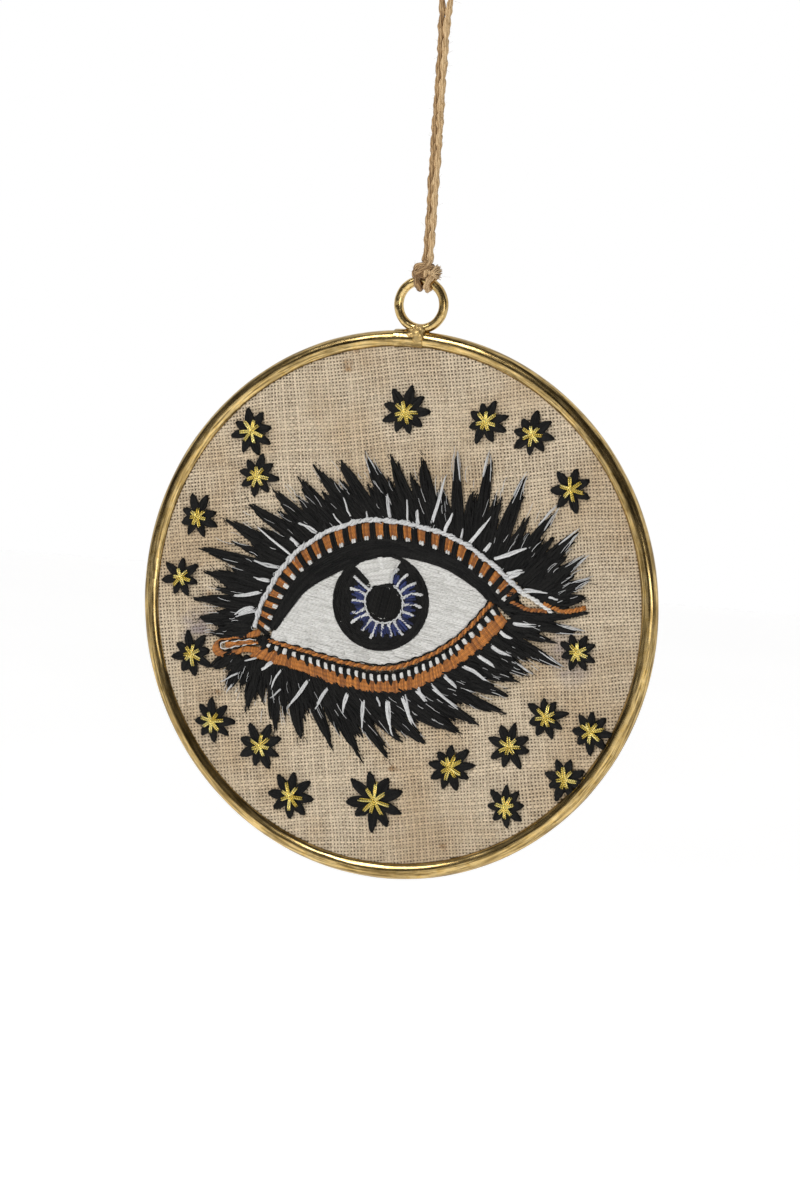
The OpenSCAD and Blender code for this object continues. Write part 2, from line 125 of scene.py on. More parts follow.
ROOTS_LOW = [(-37, -8), (-30, -9.4), (-21, -12.6), (-12, -16.4), (-3, -18.1), (6, -16.4), (16, -11.6),
    (25, -5)]

# Pale stitches over the lashes' roots: (from, to, strands)
UPPER_LIGHTS = [((-31.5, 1.6), (-36.5, 0.2), 4), ((-29.2, 5.2), (-35.5, 4.8), 2),
    ((-27.6, 7.2), (-31.3, 8.1), 2), ((-24.8, 9.8), (-31.3, 12.1), 2), ((-22.4, 12), (-28.8, 17.8), 1),
    ((-20.5, 14), (-22.2, 16), 2), ((-16, 16.4), (-20.2, 19), 2), ((-10.3, 17.6), (-12, 20), 1),
    ((-7.9, 18.2), (-9.4, 23.4), 1), ((-4.6, 18.6), (-4.6, 20.6), 1), ((0.6, 18.1), (0.3, 24), 2),
    ((4.4, 17.1), (4.7, 22), 1), ((6.8, 16.4), (6.8, 19.6), 2), ((9.5, 15.8), (13.2, 25), 2),
    ((12.4, 14.4), (15, 18.6), 2), ((16, 12.8), (16.6, 15), 1), ((17.6, 11.6), (22.4, 16.4), 2),
    ((20.8, 9.6), (22.6, 11.6), 2), ((22.6, 8), (31, 10), 2), ((25.4, 4.2), (29.4, 5), 4),
    ((28.6, 1), (34.4, 0.1), 2), ((34, -0.6), (36.6, -1.4), 1)]
LOWER_LIGHTS = [((25.4, -5.6), (31.8, -6.4), 2), ((22.8, -7), (26, -9), 2),
    ((20.4, -9.6), (24.4, -12), 2), ((17.4, -11.4), (21.4, -14.4), 2),
    ((13.8, -13.4), (19.2, -17.2), 2), ((9.6, -15.2), (12.6, -18.2), 2),
    ((6.2, -16.8), (11.4, -21.6), 2), ((3.4, -17.6), (5.4, -20.2), 3), ((0.2, -18.4), (2, -24.6), 3),
    ((-3, -18.8), (-2.9, -26), 3), ((-5.6, -18.6), (-5.2, -20.6), 1), ((-8.4, -18.4), (-9.4, -25.4), 2),
    ((-12, -17.2), (-13.4, -21.6), 2), ((-16.2, -16), (-19.6, -20.2), 2),
    ((-20.2, -13.8), (-24.8, -18.6), 2), ((-26.4, -11.2), (-28.8, -14.8), 1),
    ((-26.8, -15.2), (-29.8, -17.4), 1), ((-28.6, -9.8), (-31, -11.2), 2),
    ((-32, -8.8), (-35.2, -9.3), 1), ((-36.2, -11.4), (-40.4, -13), 1)]

# Flowers: (across, up, reach, petals, turn in degrees)
STARS = [(-29, 39, 4.8, 8, 10), (-28.5, 29.5, 4.5, 8, 28), (-43, 22, 4.5, 8, 12),
    (-48, 9.5, 4.2, 7, 30), (-47, -7, 4.8, 8, 5), (-43.5, -21.5, 4.7, 8, 40), (-33, -27.5, 5, 8, 18),
    (-27, -38.5, 5.2, 8, 32), (-8, -40.5, 6.6, 9, 15), (9.5, -34.5, 5, 9, 3), (23, -31, 4.6, 8, 25),
    (31.5, -25.5, 4.5, 8, 8), (41, -29, 4.6, 8, 35), (34.5, -38.5, 4.6, 8, 20), (21, -43.5, 4.4, 8, 42),
    (39.5, -12.5, 4.2, 8, 15), (41, 21, 4.9, 7, 20), (33.5, 33, 4.6, 8, 30), (23.5, 36.5, 4.6, 8, 12),
    (6, 40, 5.2, 9, 33)]

IRIS, IRIS_R = np.array([-3, 1.0]), 11.0
PUPIL, PUPIL_R = np.array([-2.2, 0.7]), 3.9
GLINT = [(-7.6, 9.3), (-5, 9.9), (-2, 10.2), (0.6, 10), (2.3, 9.4), (1.6, 8.4), (0.5, 6.4), (0, 4.8),
    (-2.2, 4.6), (-4.8, 4.4), (-5.6, 5.8), (-7.2, 7.6)]
TEAR_OUTER = [(-30.5, -2.6), (-34, -3.4), (-38, -4), (-41, -4.6), (-42.3, -6.4), (-41, -8), (-38, -8.3),
    (-35, -7.4), (-32, -8)]
TEAR_INNER = [(-31.5, -4.6), (-35, -4.7), (-39.6, -4.7), (-40.4, -5.6), (-39.4, -6.7), (-37.6, -6.6),
    (-34.6, -6), (-31.6, -6.3)]

# Where blue grey dye has rubbed off on the linen
DYE_SPOTS = ((35.5, -11.5), (38, -16), (-46, -2), (-44, 0))


# ---------- curves ----------

def smooth(points, steps=6):
    """Smooth curve through the points."""
    p = np.array(points, float)
    out = []
    for i in range(len(p) - 1):
        a, b, c, d = p[max(i - 1, 0)], p[i], p[i + 1], p[min(i + 2, len(p) - 1)]
        for t in np.arange(steps) / steps:
            out.append(0.5 * (2 * b + (c - a) * t + (2 * a - 5 * b + 4 * c - d) * t * t
                + (3 * b - 3 * c + d - a) * t ** 3))
    return np.array(out + [p[-1]])


def run_along(path):
    """Distance from the start of a path to each of its points."""
    return np.concatenate([[0], np.cumsum(np.linalg.norm(np.diff(path, axis=0), axis=1))])


def evenly(path, step):
    """The path cut into even lengths of about step."""
    run = run_along(path)
    at = np.linspace(0, run[-1], max(2, int(round(run[-1] / step)) + 1))
    return np.stack([np.interp(at, run, column) for column in path.T], -1)


def along(points, f):
    """Point at fraction f along the smooth curve, counted in points."""
    s = f * (len(points) - 1)
    curve = smooth(points, 8)
    return np.array([np.interp(s * 8, np.arange(len(curve)), curve[:, k]) for k in (0, 1)])


def toward(angle):
    return np.array([math.cos(angle), math.sin(angle)])


def unit(rows):
    return rows / np.maximum(np.linalg.norm(rows, axis=1), 1e-9)[:, None]


def square_to(v):
    return np.array([-v[1], v[0]]) / max(np.linalg.norm(v), 1e-9)


def crossings(loops, level):
    """Where a level line crosses closed loops, from left to right."""
    found = []
    for p in loops:
        q = np.roll(p, -1, axis=0)
        cross = (p[:, 1] <= level) != (q[:, 1] <= level)
        a, b = p[cross], q[cross]
        found.append(a[:, 0] + (level - a[:, 1]) / (b[:, 1] - a[:, 1]) * (b[:, 0] - a[:, 0]))
    return np.sort(np.concatenate(found))


def inside(point, loop):
    return bool((crossings([np.asarray(loop, float)], point[1]) > point[0]).sum() % 2)


def spans(loop, angle, pitch):
    """Where parallel lines at that angle cross the loop: pairs of (from, to)."""
    c, s = math.cos(angle), math.sin(angle)
    turn = np.array([[c, s], [-s, c]])
    turned = np.asarray(loop, float) @ turn.T
    for level in np.arange(turned[:, 1].min() + pitch / 2, turned[:, 1].max(), pitch):
        xs = crossings([turned], level)
        for x0, x1 in zip(xs[::2], xs[1::2]):
            yield np.array([x0, level]) @ turn, np.array([x1, level]) @ turn


# ---------- meshes ----------

@functools.cache
def grid(rows, cols, closed=(False, True), flip=False):
    """Corners of the faces between rows of points. closed joins the last row, column to the first."""
    i = np.arange(rows - (not closed[0]))[:, None]
    k = np.arange(cols - (not closed[1]))[None]
    i, i1, k1 = i * cols, (i + 1) % rows * cols, (k + 1) % cols
    corners = [i + k, i1 + k, i1 + k1, i + k1]
    if flip:
        corners = corners[:1] + corners[:0:-1]
    return np.stack(corners, -1).reshape(-1, 4)


@functools.cache
def caps(rows, cols, flip=False):
    """Corners of the faces that close a tube's ends round two points that follow its rows."""
    k = np.arange(cols)
    k1 = (k + 1) % cols
    if flip:
        k, k1 = k1, k
    end = rows * cols
    return np.concatenate([np.stack([k1, k, np.full(cols, end)], -1),
        np.stack([end - cols + k, end - cols + k1, np.full(cols, end + 1)], -1)])


def flat_end(count):
    """Corners of the faces that fill a closed row of points."""
    k = np.arange(1, count - 1)
    return np.stack([k * 0, k, k + 1], -1)


def turned_over(tris):
    return tris[:, [0, 2, 1]]


def to_object(name, points, quads, tris=(), values=None):
    """A mesh object from arrays of points in millimetres and faces, with float attributes."""
    mesh = bpy.data.meshes.new(name)
    quads = np.asarray(quads, np.int32).reshape(-1, 4)
    tris = np.asarray(tris, np.int32).reshape(-1, 3)
    starts = np.concatenate([np.arange(len(quads)) * 4, len(quads) * 4 + np.arange(len(tris)) * 3])
    mesh.vertices.add(len(points))
    mesh.vertices.foreach_set("co", (np.asarray(points) * MM).astype(np.float32).ravel())
    mesh.loops.add(quads.size + tris.size)
    mesh.loops.foreach_set("vertex_index", np.concatenate([quads.ravel(), tris.ravel()]))
    mesh.polygons.add(len(starts))
    mesh.polygons.foreach_set("loop_start", starts.astype(np.int32))
    mesh.polygons.foreach_set("use_smooth", np.ones(len(starts), bool))
    mesh.update(calc_edges=True)
    mesh.validate()
    for key, data in (values or {}).items():
        mesh.attributes.new(key, "FLOAT", "POINT").data.foreach_set("value",
            np.asarray(data, np.float32))
    piece = bpy.data.objects.new(name, mesh)
    bpy.context.scene.collection.objects.link(piece)
    return piece


def set_down(piece, paint, *nodes, body="ornament"):
    """Gives a piece its paint and the body it rides on, if any yet, and hides the nodes it stands for.
    """
    slot, material = paint
    piece.data.materials.append(material)
    if body:
        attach(piece, body)
    if nodes:
        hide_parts(*nodes)
    return piece


def on_cloth(p):
    """Takes points (across, up, lift) on the cloth to the row frame, in millimetres."""
    c, s = math.cos(CLOTH_TURN), math.sin(CLOTH_TURN)
    return np.stack([HOOP[0] + p[:, 0] * c - p[:, 1] * s, CLOTH_Y - p[:, 2],
        HOOP[2] + p[:, 0] * s + p[:, 1] * c], -1)


def as_is(p):
    return p


def carried(path):
    """Two directions square to a path, carried along it without turning."""
    ahead = unit(np.gradient(path, axis=0))
    side = np.cross(ahead[0], [0.13, 1, 0.07])
    sides = []
    for t in ahead:
        side = side - t * (side @ t)
        side = side / np.linalg.norm(side)
        sides.append(side)
    sides = np.array(sides)
    return sides, np.cross(ahead, sides)


class Threads:
    """Gathers many lengths of thread into one mesh, each with its own tone."""

    def __init__(self, seed, place=on_cloth):
        self.pick = random.Random(seed).uniform
        self.place = place
        self.points, self.quads, self.tris = [], [], []
        self.values = {"tone": [], "run": [], "turn": []}
        self.count = 0

    def gather(self, points, quads, tris, **values):
        self.points.append(points)
        self.quads.append(quads + self.count)
        self.tris.append(tris + self.count)
        for key, data in values.items():
            self.values[key].append(data)
        self.count += len(points)

    def lay(self, path, radius, flat=1.0, sides=6, tone=None, frames=None):
        """A closed tube along the path. flat is its height as a share of its width."""
        n = len(path)
        radius = np.broadcast_to(np.asarray(radius, float), (n,))[:, None, None]
        if frames is None:
            ahead = np.gradient(path, axis=0)
            side = unit(np.cross(ahead, [0, 0, 1.0]))
            out = unit(np.cross(ahead, side))
        else:
            side, out = frames
        a = np.arange(sides) * 2 * math.pi / sides
        ring = (path[:, None] + side[:, None] * (np.cos(a)[None, :, None] * radius)
            + out[:, None] * (np.sin(a)[None, :, None] * radius * flat))
        run = run_along(path)
        tone = np.broadcast_to(self.pick(0, 1) if tone is None else tone, (n,))
        self.gather(np.concatenate([ring.reshape(-1, 3), path[:1], path[-1:]]),
            grid(n, sides, flip=True), caps(n, sides),
            tone=np.concatenate([np.repeat(tone, sides), tone[[0, -1]]]),
            run=np.concatenate([np.repeat(run, sides), run[[0, -1]]]),
            turn=np.concatenate([np.tile(a, n), [0, 0]]))

    def strip(self, path, radius, flat, tone, across=4):
        """The upper half of a tube, for yarns whose backs are never seen."""
        n = len(path)
        side = unit(np.cross(np.gradient(path, axis=0), [0, 0, 1.0]))
        a = np.linspace(-0.08, math.pi + 0.08, across)
        rows = (path[:, None] + side[:, None] * np.cos(a)[None, :, None] * radius[:, None, None]
            + np.array([0, 0, 1.0]) * np.sin(a)[None, :, None] * flat)
        self.gather(rows.reshape(-1, 3), grid(n, across, closed=(False, False)),
            np.zeros((0, 3), int), tone=np.full(n * across, tone),
            run=np.repeat(run_along(path), across), turn=np.tile(a, n))

    def follow(self, line, width, lift, flat=0.75, base=0.0, taper=0.0):
        """A stitch that comes up at the start of a line on the cloth and goes down at its end."""
        line = np.asarray(line, float)
        run = run_along(line)
        t = np.array([0, 0.06, 0.2, 0.4, 0.6, 0.8, 0.94, 1])
        rise = np.array([-0.3, 0.5, 0.9, 1, 1, 0.9, 0.5, -0.3])
        grow = np.array([0.45, 0.8, 1, 1.03, 1.03, 1, 0.8, 0.4]) * (1 - taper * t)
        flat_path = np.stack([np.interp(t * run[-1], run, line[:, k]) for k in (0, 1)], -1)
        path = np.column_stack([flat_path, base + rise * lift])
        self.lay(path, width / 2 * grow, flat)

    def stitch(self, a, b, width, lift, flat=0.75, bend=0.0, base=0.0, taper=0.0):
        """A stitch from a to b, bowed to one side by bend."""
        a, b = np.asarray(a, float), np.asarray(b, float)
        t = np.array([0, 0.2, 0.4, 0.6, 0.8, 1])[:, None]
        line = a + (b - a) * t + square_to(b - a) * bend * np.sin(math.pi * t)
        self.follow(line, width, lift, flat, base, taper)

    def satin(self, loop, angle, pitch=0.3, longest=6.0, lift=0.4, stray=0.15, under=True):
        """Fills a closed loop with parallel stitches over a layer of wide ones across them."""
        pick = self.pick
        width = pitch * 1.45
        if under:
            for a, b in spans(loop, angle + math.pi / 2, 0.7):
                if np.linalg.norm(b - a) > 1.2:
                    short = (b - a) * 0.04
                    self.stitch(a + short, b - short, 1.3, lift * 0.62, 0.22)
        for a, b in spans(loop, angle, pitch):
            length = np.linalg.norm(b - a)
            if length < 0.5 * pitch:
                continue
            cuts = [0.0]
            at = pick(0.35, 1.0) * longest
            while at < length - 0.3 * longest:
                cuts.append(at / length)
                at += pick(0.6, 1.0) * longest
            cuts.append(1.0)
            for f0, f1 in zip(cuts, cuts[1:]):
                drift = np.array([pick(-1, 1), pick(-1, 1)]) * 0.05
                over = stray / length
                p = a + (b - a) * max(0, f0 - pick(0, over)) + drift
                q = a + (b - a) * min(1, f1 + pick(0, over)) + drift
                self.stitch(p, q, width * pick(0.85, 1.15), lift * pick(0.9, 1.08),
                    bend=pick(-0.08, 0.08))

    def across_band(self, inner, outer, f0, f1, pitch=0.3, lift=0.4, stray=0.1, part=(0, 1),
            base=0.0, width=None):
        """Stitches from one line to another, side by side from fraction f0 to f1."""
        pick = self.pick
        length = np.linalg.norm(np.diff(smooth(outer, 8), axis=0), axis=1).sum() * (f1 - f0)
        count = max(2, int(round(length / pitch)))
        for i in range(count):
            f = f0 + (f1 - f0) * (i + 0.5) / count
            a, b = along(inner, f), along(outer, f)
            p, q = a + (b - a) * part[0], a + (b - a) * part[1]
            d = (q - p) / max(np.linalg.norm(q - p), 1e-9)
            self.stitch(p - d * pick(0, stray), q + d * pick(0, stray),
                (width or pitch * 1.3) * pick(0.85, 1.15), lift * pick(0.9, 1.1), base=base)

    def rope(self, line, width=0.9, lift=0.35, pitch=2.4, strands=2, wobble=0.06):
        """Strands twisted loosely round each other along a line on the cloth."""
        pick = self.pick
        step = 0.22
        path = evenly(smooth(line, 8), step)
        ahead = np.gradient(path, axis=0)
        side = unit(np.stack([-ahead[:, 1], ahead[:, 0]], -1))
        run = np.arange(len(path)) * step
        for s in range(strands):
            phase = 2 * math.pi * (run / pitch + s / strands) + pick(0, 0.4)
            drift = wobble * np.sin(run * pick(0.6, 1.2) + pick(0, 6))
            body = path + side * (np.sin(phase) * width * 0.26 + drift)[:, None]
            up = lift + np.cos(phase) * width * 0.16
            up[[0, -1]] = -0.1
            self.lay(np.column_stack([body, up]), width * 0.3 * (1 + 0.12 * np.sin(run * 2.3)),
                0.8, 7)

    def piece(self, name, paint, *nodes, body="ornament"):
        values = {key: np.concatenate(data) for key, data in self.values.items()}
        made = to_object(name, self.place(np.concatenate(self.points)),
            np.concatenate(self.quads), np.concatenate(self.tris), values)
        return set_down(made, paint, *nodes, body=body)


# ---------- materials ----------

class Nodes:
    """A tree of shader nodes, and short ways to add to it."""

    def __init__(self, tree):
        self.tree = tree

    def node(self, kind, **settings):
        made = self.tree.nodes.new("ShaderNode" + kind)
        for key, value in settings.items():
            setattr(made, key, value)
        return made

    def link(self, a, b):
        self.tree.links.new(a, b)

    def feed(self, sockets, sources):
        """Links or sets each socket to its source, which is a socket, a number or a colour."""
        for socket, x in zip(sockets, sources):
            if isinstance(x, (int, float)):
                socket.default_value = x
            elif isinstance(x, tuple):
                socket.default_value = (*x, 1)
            else:
                self.link(x, socket)

    def calc(self, operation, *terms):
        made = self.node("Math", operation=operation)
        self.feed(made.inputs, terms)
        return made.outputs[0]

    def times(self, a, b):
        return self.calc("MULTIPLY", a, b)

    def plus(self, a, b):
        return self.calc("ADD", a, b)

    def combined(self, *sources):
        made = self.node("CombineXYZ")
        self.feed(made.inputs, sources)
        return made.outputs[0]

    def ramp(self, source, *stops):
        made = self.node("ValToRGB")
        ramp = made.color_ramp
        while len(ramp.elements) < len(stops):
            ramp.elements.new(0.5)
        for element, (at, colour) in zip(ramp.elements, stops):
            element.position, element.color = at, (*colour, 1)
        self.link(source, made.inputs["Fac"])
        return made.outputs["Color"]

    def mix(self, factor, a, b, blend="MIX"):
        made = self.node("Mix", data_type="RGBA", blend_type=blend)
        self.feed((made.inputs[0], made.inputs[6], made.inputs[7]), (factor, a, b))
        return made.outputs[2]

    def shaded(self, colour, *shades):
        for shade in shades:
            colour = self.mix(1.0, colour, shade, "MULTIPLY")
        return colour


class Paint(Nodes):
    """A node material, built up from its Principled shader."""

    def __init__(self, name, colour, roughness=0.6, **sockets):
        self.material = bpy.data.materials.new(name)
        self.material.use_nodes = True
        super().__init__(self.material.node_tree)
        self.shader = self.tree.nodes["Principled BSDF"]
        self.shader.inputs["Base Color"].default_value = (*colour, 1)
        self.shader.inputs["Roughness"].default_value = roughness
        for key, value in sockets.items():
            self.shader.inputs[key.replace("_", " ")].default_value = value

    def value(self, name):
        return self.node("Attribute", attribute_name=name).outputs["Fac"]

    def place(self):
        return self.node("TexCoord").outputs["Object"]

    def noise(self, scale, detail=3.0, where=None, rough=0.55):
        made = self.node("TexNoise")
        made.inputs["Scale"].default_value = scale
        made.inputs["Detail"].default_value = detail
        made.inputs["Roughness"].default_value = rough
        self.link(where or self.place(), made.inputs["Vector"])
        return made.outputs["Fac"]

    def fibres(self, along_run, around, detail=3.0):
        """Noise drawn out along each thread's run, different in every thread."""
        turn = self.value("turn")
        level = self.times(self.calc("SINE", turn), around)
        where = self.combined(self.times(self.value("run"), along_run),
            self.times(self.calc("COSINE", turn), around),
            self.plus(level, self.times(self.value("tone"), 60.0)))
        return self.noise(1.0, detail, where)

    def plies(self, along_run, around):
        """Plies that wind round a thread, from 0 between them to 1 on top of them."""
        winding = self.plus(self.times(self.value("run"), along_run),
            self.times(self.value("turn"), around))
        return self.plus(self.times(self.calc("SINE", winding), 0.5), 0.5)

    def colour(self, source):
        self.link(source, self.shader.inputs["Base Color"])

    def rough(self, source, low, high):
        made = self.node("MapRange")
        made.inputs["To Min"].default_value = low
        made.inputs["To Max"].default_value = high
        self.link(source, made.inputs["Value"])
        self.link(made.outputs[0], self.shader.inputs["Roughness"])

    def bump(self, source, distance, strength=1.0, under=None):
        made = self.node("Bump")
        made.inputs["Distance"].default_value = distance * MM
        made.inputs["Strength"].default_value = strength
        self.link(source, made.inputs["Height"])
        if under is not None:
            self.link(under, made.inputs["Normal"])
        self.link(made.outputs[0], self.shader.inputs["Normal"])
        return made.outputs[0]


def grey(v):
    return (v, v, v)


def thread_paint(name, dark, light, roughness=0.5, twist=1.0, sheen=0.1, gloss=0.4):
    """Stranded cotton: tone varies by stitch, with fine plies that wind round it and painted shade
    between them.
    """
    paint = Paint(name, light, roughness, Sheen_Weight=sheen, Sheen_Roughness=0.5,
        Specular_IOR_Level=gloss)
    plies = paint.plies(7.0, 2.0)
    fibres = paint.fibres(0.9, 3.0)
    tone = paint.mix(0.55, paint.value("tone"), fibres)
    base = paint.ramp(tone, (0.25, dark), (0.75, light))
    # Painted shade: the colour darkens in the grooves between the plies.
    shade = paint.ramp(plies, (0.0, grey(1 - 0.35 * twist)), (0.7, grey(1.0)))
    paint.colour(paint.shaded(base, shade))
    paint.rough(fibres, roughness - 0.1, roughness + 0.15)
    paint.bump(paint.plus(plies, fibres), 0.05, 0.7)
    return paint.material


def gold_paint():
    """Gold foil wound round a core: painted shade between its turns and painted glints on top of them.
    """
    paint = Paint("gold_thread", (1.0, 0.83, 0.28), 0.2, Metallic=0.9)
    foil = paint.plies(16.0, 1.0)
    tone = paint.mix(0.5, foil, paint.value("tone"))
    # Painted shade and glint: the colour runs from dark brown between the foil's turns to pale yellow
    # on top of them, with a tone that also differs by stitch.
    paint.colour(paint.ramp(tone, (0.1, (0.34, 0.22, 0.02)), (0.45, (0.88, 0.66, 0.12)),
        (0.9, (1.0, 0.92, 0.42))))
    paint.rough(foil, 0.14, 0.36)
    paint.bump(paint.plus(foil, paint.noise(1500, 2)), 0.12, 1.0)
    return paint.material


def brass_paint(name, centre, drawn=0.8, tarnish=0.75, rough=(0.1, 0.34), lumps=0.02):
    """Drawn brass: lines that run round the centre, brown tarnish in patches, small scratches."""
    paint = Paint(name, (0.83, 0.62, 0.3), 0.25, Metallic=1.0)
    patches = paint.noise(90, 5, rough=0.65)
    fine = paint.noise(900, 3)
    split = paint.node("SeparateXYZ")
    paint.link(paint.place(), split.inputs[0])
    side = split.outputs["X"]
    rise = paint.calc("SUBTRACT", split.outputs["Z"], centre[2] * MM)
    reach = paint.calc("SQRT", paint.plus(paint.times(side, side), paint.times(rise, rise)))
    line_scale = 2600.0
    where = paint.combined(paint.times(reach, line_scale),
        paint.times(split.outputs["Y"], line_scale),
        paint.times(paint.calc("ARCTAN2", rise, side), 9.0))
    lines = paint.noise(1.0, 4, where, 0.6)
    film = paint.mix(0.35, patches, fine)
    clean = paint.ramp(fine, (0.3, (0.56, 0.37, 0.12)), (0.7, (0.9, 0.68, 0.32)))
    streaks = paint.ramp(lines, (0.38, grey(1 - drawn)), (0.6, grey(1.0)))
    aged = paint.ramp(film, (0.4, grey(0.0)), (0.66, grey(tarnish)))
    paint.colour(paint.mix(aged, paint.shaded(clean, streaks), (0.2, 0.125, 0.04)))
    paint.rough(paint.mix(0.5, film, lines), *rough)
    under = paint.bump(patches, lumps, 0.8)
    paint.bump(paint.mix(0.5, paint.noise(2400, 2), lines), 0.006, 0.8, under)
    return paint.material


def linen_paint(name, light, dark):
    """Flax yarn: streaky along its run, with flecks, stains and dye, and painted shade that darkens it
    towards its edges.
    """
    paint = Paint(name, light, 0.85, Sheen_Weight=0.15)
    streak = paint.noise(900, 4, rough=0.7)
    fibres = paint.noise(3200, 2)
    tone = paint.mix(0.5, paint.value("tone"), streak)
    half_light = tuple(c * 0.82 for c in light)
    base = paint.ramp(tone, (0.25, dark), (0.5, half_light), (0.72, light))
    # Painted shade: each yarn is darker towards its edges, where it dips beside the crossing yarns.
    edge_shade = paint.ramp(paint.calc("SINE", paint.value("turn")), (0.0, grey(0.42)),
        (0.75, grey(1.0)))
    blotch = paint.ramp(paint.noise(55, 3), (0.36, (0.86, 0.8, 0.72)), (0.56, grey(1.0)))
    stain = paint.ramp(paint.noise(170, 2), (0.22, (0.62, 0.48, 0.34)), (0.3, grey(1.0)))
    shades = [blotch, stain]
    for across, up in DYE_SPOTS:
        far = paint.node("VectorMath", operation="DISTANCE")
        paint.link(paint.place(), far.inputs[0])
        far.inputs[1].default_value = tuple(on_cloth(np.array([[across, up, 0.0]]))[0] * MM)
        blur = paint.plus(paint.times(far.outputs["Value"], 110.0),
            paint.times(paint.noise(420, 3), 0.9))
        shades.append(paint.ramp(blur, (0.45, (0.7, 0.71, 0.84)), (0.95, grey(1.0))))
    shades.append(paint.ramp(fibres, (0.25, grey(0.78)), (0.6, grey(1.0))))
    paint.colour(paint.shaded(base, *shades, edge_shade))
    paint.bump(paint.plus(streak, fibres), 0.06, 0.7)
    return paint.material


def jute_paint():
    """Jute: coarse pale and brown fibres along the twist, with painted shade between the plies."""
    paint = Paint("jute", (0.5, 0.36, 0.2), 0.85, Sheen_Weight=0.1)
    lines = paint.plies(2.2, 5.0)
    streak = paint.fibres(0.5, 3.2, 4.0)
    patches = paint.mix(0.6, paint.noise(260, 3), paint.value("tone"))
    # Painted shade: the plies darken the colour between them; the patches and streaks are the fibres'
    # own pale and brown.
    tone = paint.mix(0.45, paint.mix(0.7, lines, streak), patches)
    paint.colour(paint.ramp(tone, (0.32, (0.13, 0.065, 0.022)), (0.48, (0.36, 0.22, 0.095)),
        (0.66, (0.63, 0.445, 0.24))))
    paint.bump(paint.plus(lines, streak), 0.05, 0.8)
    return paint.material


def matted_paint(name, base, roughness, sheen, grain, dark, light, bump):
    """Felt or card: a fine uneven grain. grain is its (scale, detail, roughness)."""
    paint = Paint(name, base, roughness, Sheen_Weight=sheen)
    fibres = paint.noise(grain[0], grain[1], rough=grain[2])
    paint.colour(paint.ramp(fibres, dark, light))
    paint.bump(fibres, *bump)
    return paint.material


def felt_paint(name, light, dark):
    return matted_paint(name, light, 0.95, 0.2, (600, 6, 0.75), (0.35, dark), (0.65, light),
        (0.15, 0.8))


# Paints, most of them in a pair with a slot name, which set_down does not use
BRASS = "brass", brass_paint("brass", HOOP)
WIRE = "brass", brass_paint("brass_wire", RING, 0.35, 0.6, (0.14, 0.32))
BRAZE = "braze", brass_paint("braze", RING, 0.3, 1.0, (0.35, 0.6), 0.04)
JUTE = "jute", jute_paint()
BLACK = "thread_black", thread_paint("black_cotton", (0.002, 0.002, 0.002),
    (0.011, 0.0105, 0.0095), 0.55, 1.0, 0.0, 0.14)
WHITE = "thread_white", thread_paint("white_cotton", (0.54, 0.53, 0.5), (0.72, 0.71, 0.68), 0.55,
    0.5)
GREY = "thread_grey", thread_paint("grey_cotton", (0.5, 0.5, 0.5), (0.72, 0.72, 0.71), 0.5, 0.5)
BLUE = "thread_blue", thread_paint("blue_cotton", (0.006, 0.009, 0.035), (0.026, 0.042, 0.17),
    0.45, 1.0, 0.0, 0.3)
ORANGE = "thread_orange", thread_paint("orange_cotton", (0.2, 0.06, 0.008), (0.56, 0.2, 0.03),
    0.5, 1.0, 0.03)
GOLD = "thread_gold", gold_paint()
WEFT = "linen", linen_paint("linen_weft", (0.74, 0.605, 0.43), (0.38, 0.275, 0.165))
WARP = "linen", linen_paint("linen_warp", (0.72, 0.59, 0.42), (0.37, 0.265, 0.16))
BACKING = "felt", felt_paint("back_felt", (0.3, 0.22, 0.15), (0.2, 0.14, 0.09))
# Painted shade: the wadding is dark brown, so that it shows as shade through the holes of the weave.
WADDING_PAINTED_SHADE = felt_paint("wadding", (0.16, 0.11, 0.07), (0.1, 0.07, 0.04))
CARD = matted_paint("card", (0.45, 0.36, 0.26), 0.9, 0.0, (400, 5, 0.7),
    (0.4, (0.36, 0.28, 0.19)), (0.62, (0.5, 0.41, 0.3)), (0.05, 0.5))


# ---------- camera, light and floor ----------

def make_camera():
    """A long lens a metre away, to the right of the front and a little above it."""
    turn, rise, roll = math.radians(20.82), math.radians(4.28), math.radians(4.71)
    distance, focal, aim = 1000.0, 4780.0, (-3.4, -5.3)
    back = Vector((math.sin(turn) * math.cos(rise), -math.cos(turn) * math.cos(rise),
        math.sin(rise)))
    right = Vector((math.cos(turn), math.sin(turn), 0))
    up = back.cross(right)
    across = right * math.cos(roll) + up * math.sin(roll)
    upward = up * math.cos(roll) - right * math.sin(roll)
    slide = distance / focal
    at = Vector(HOOP) + back * distance - across * aim[0] * slide - upward * aim[1] * slide
    data = bpy.data.cameras.new("camera")
    data.sensor_width = 36
    data.lens = focal * data.sensor_width / 1200
    data.clip_start, data.clip_end = 0.01, 50
    camera = bpy.data.objects.new("camera", data)
    camera.matrix_world = (Matrix.Translation(at * MM)
        @ Matrix((across, upward, back)).transposed().to_4x4())
    bpy.context.scene.collection.objects.link(camera)
    bpy.context.scene.camera = camera


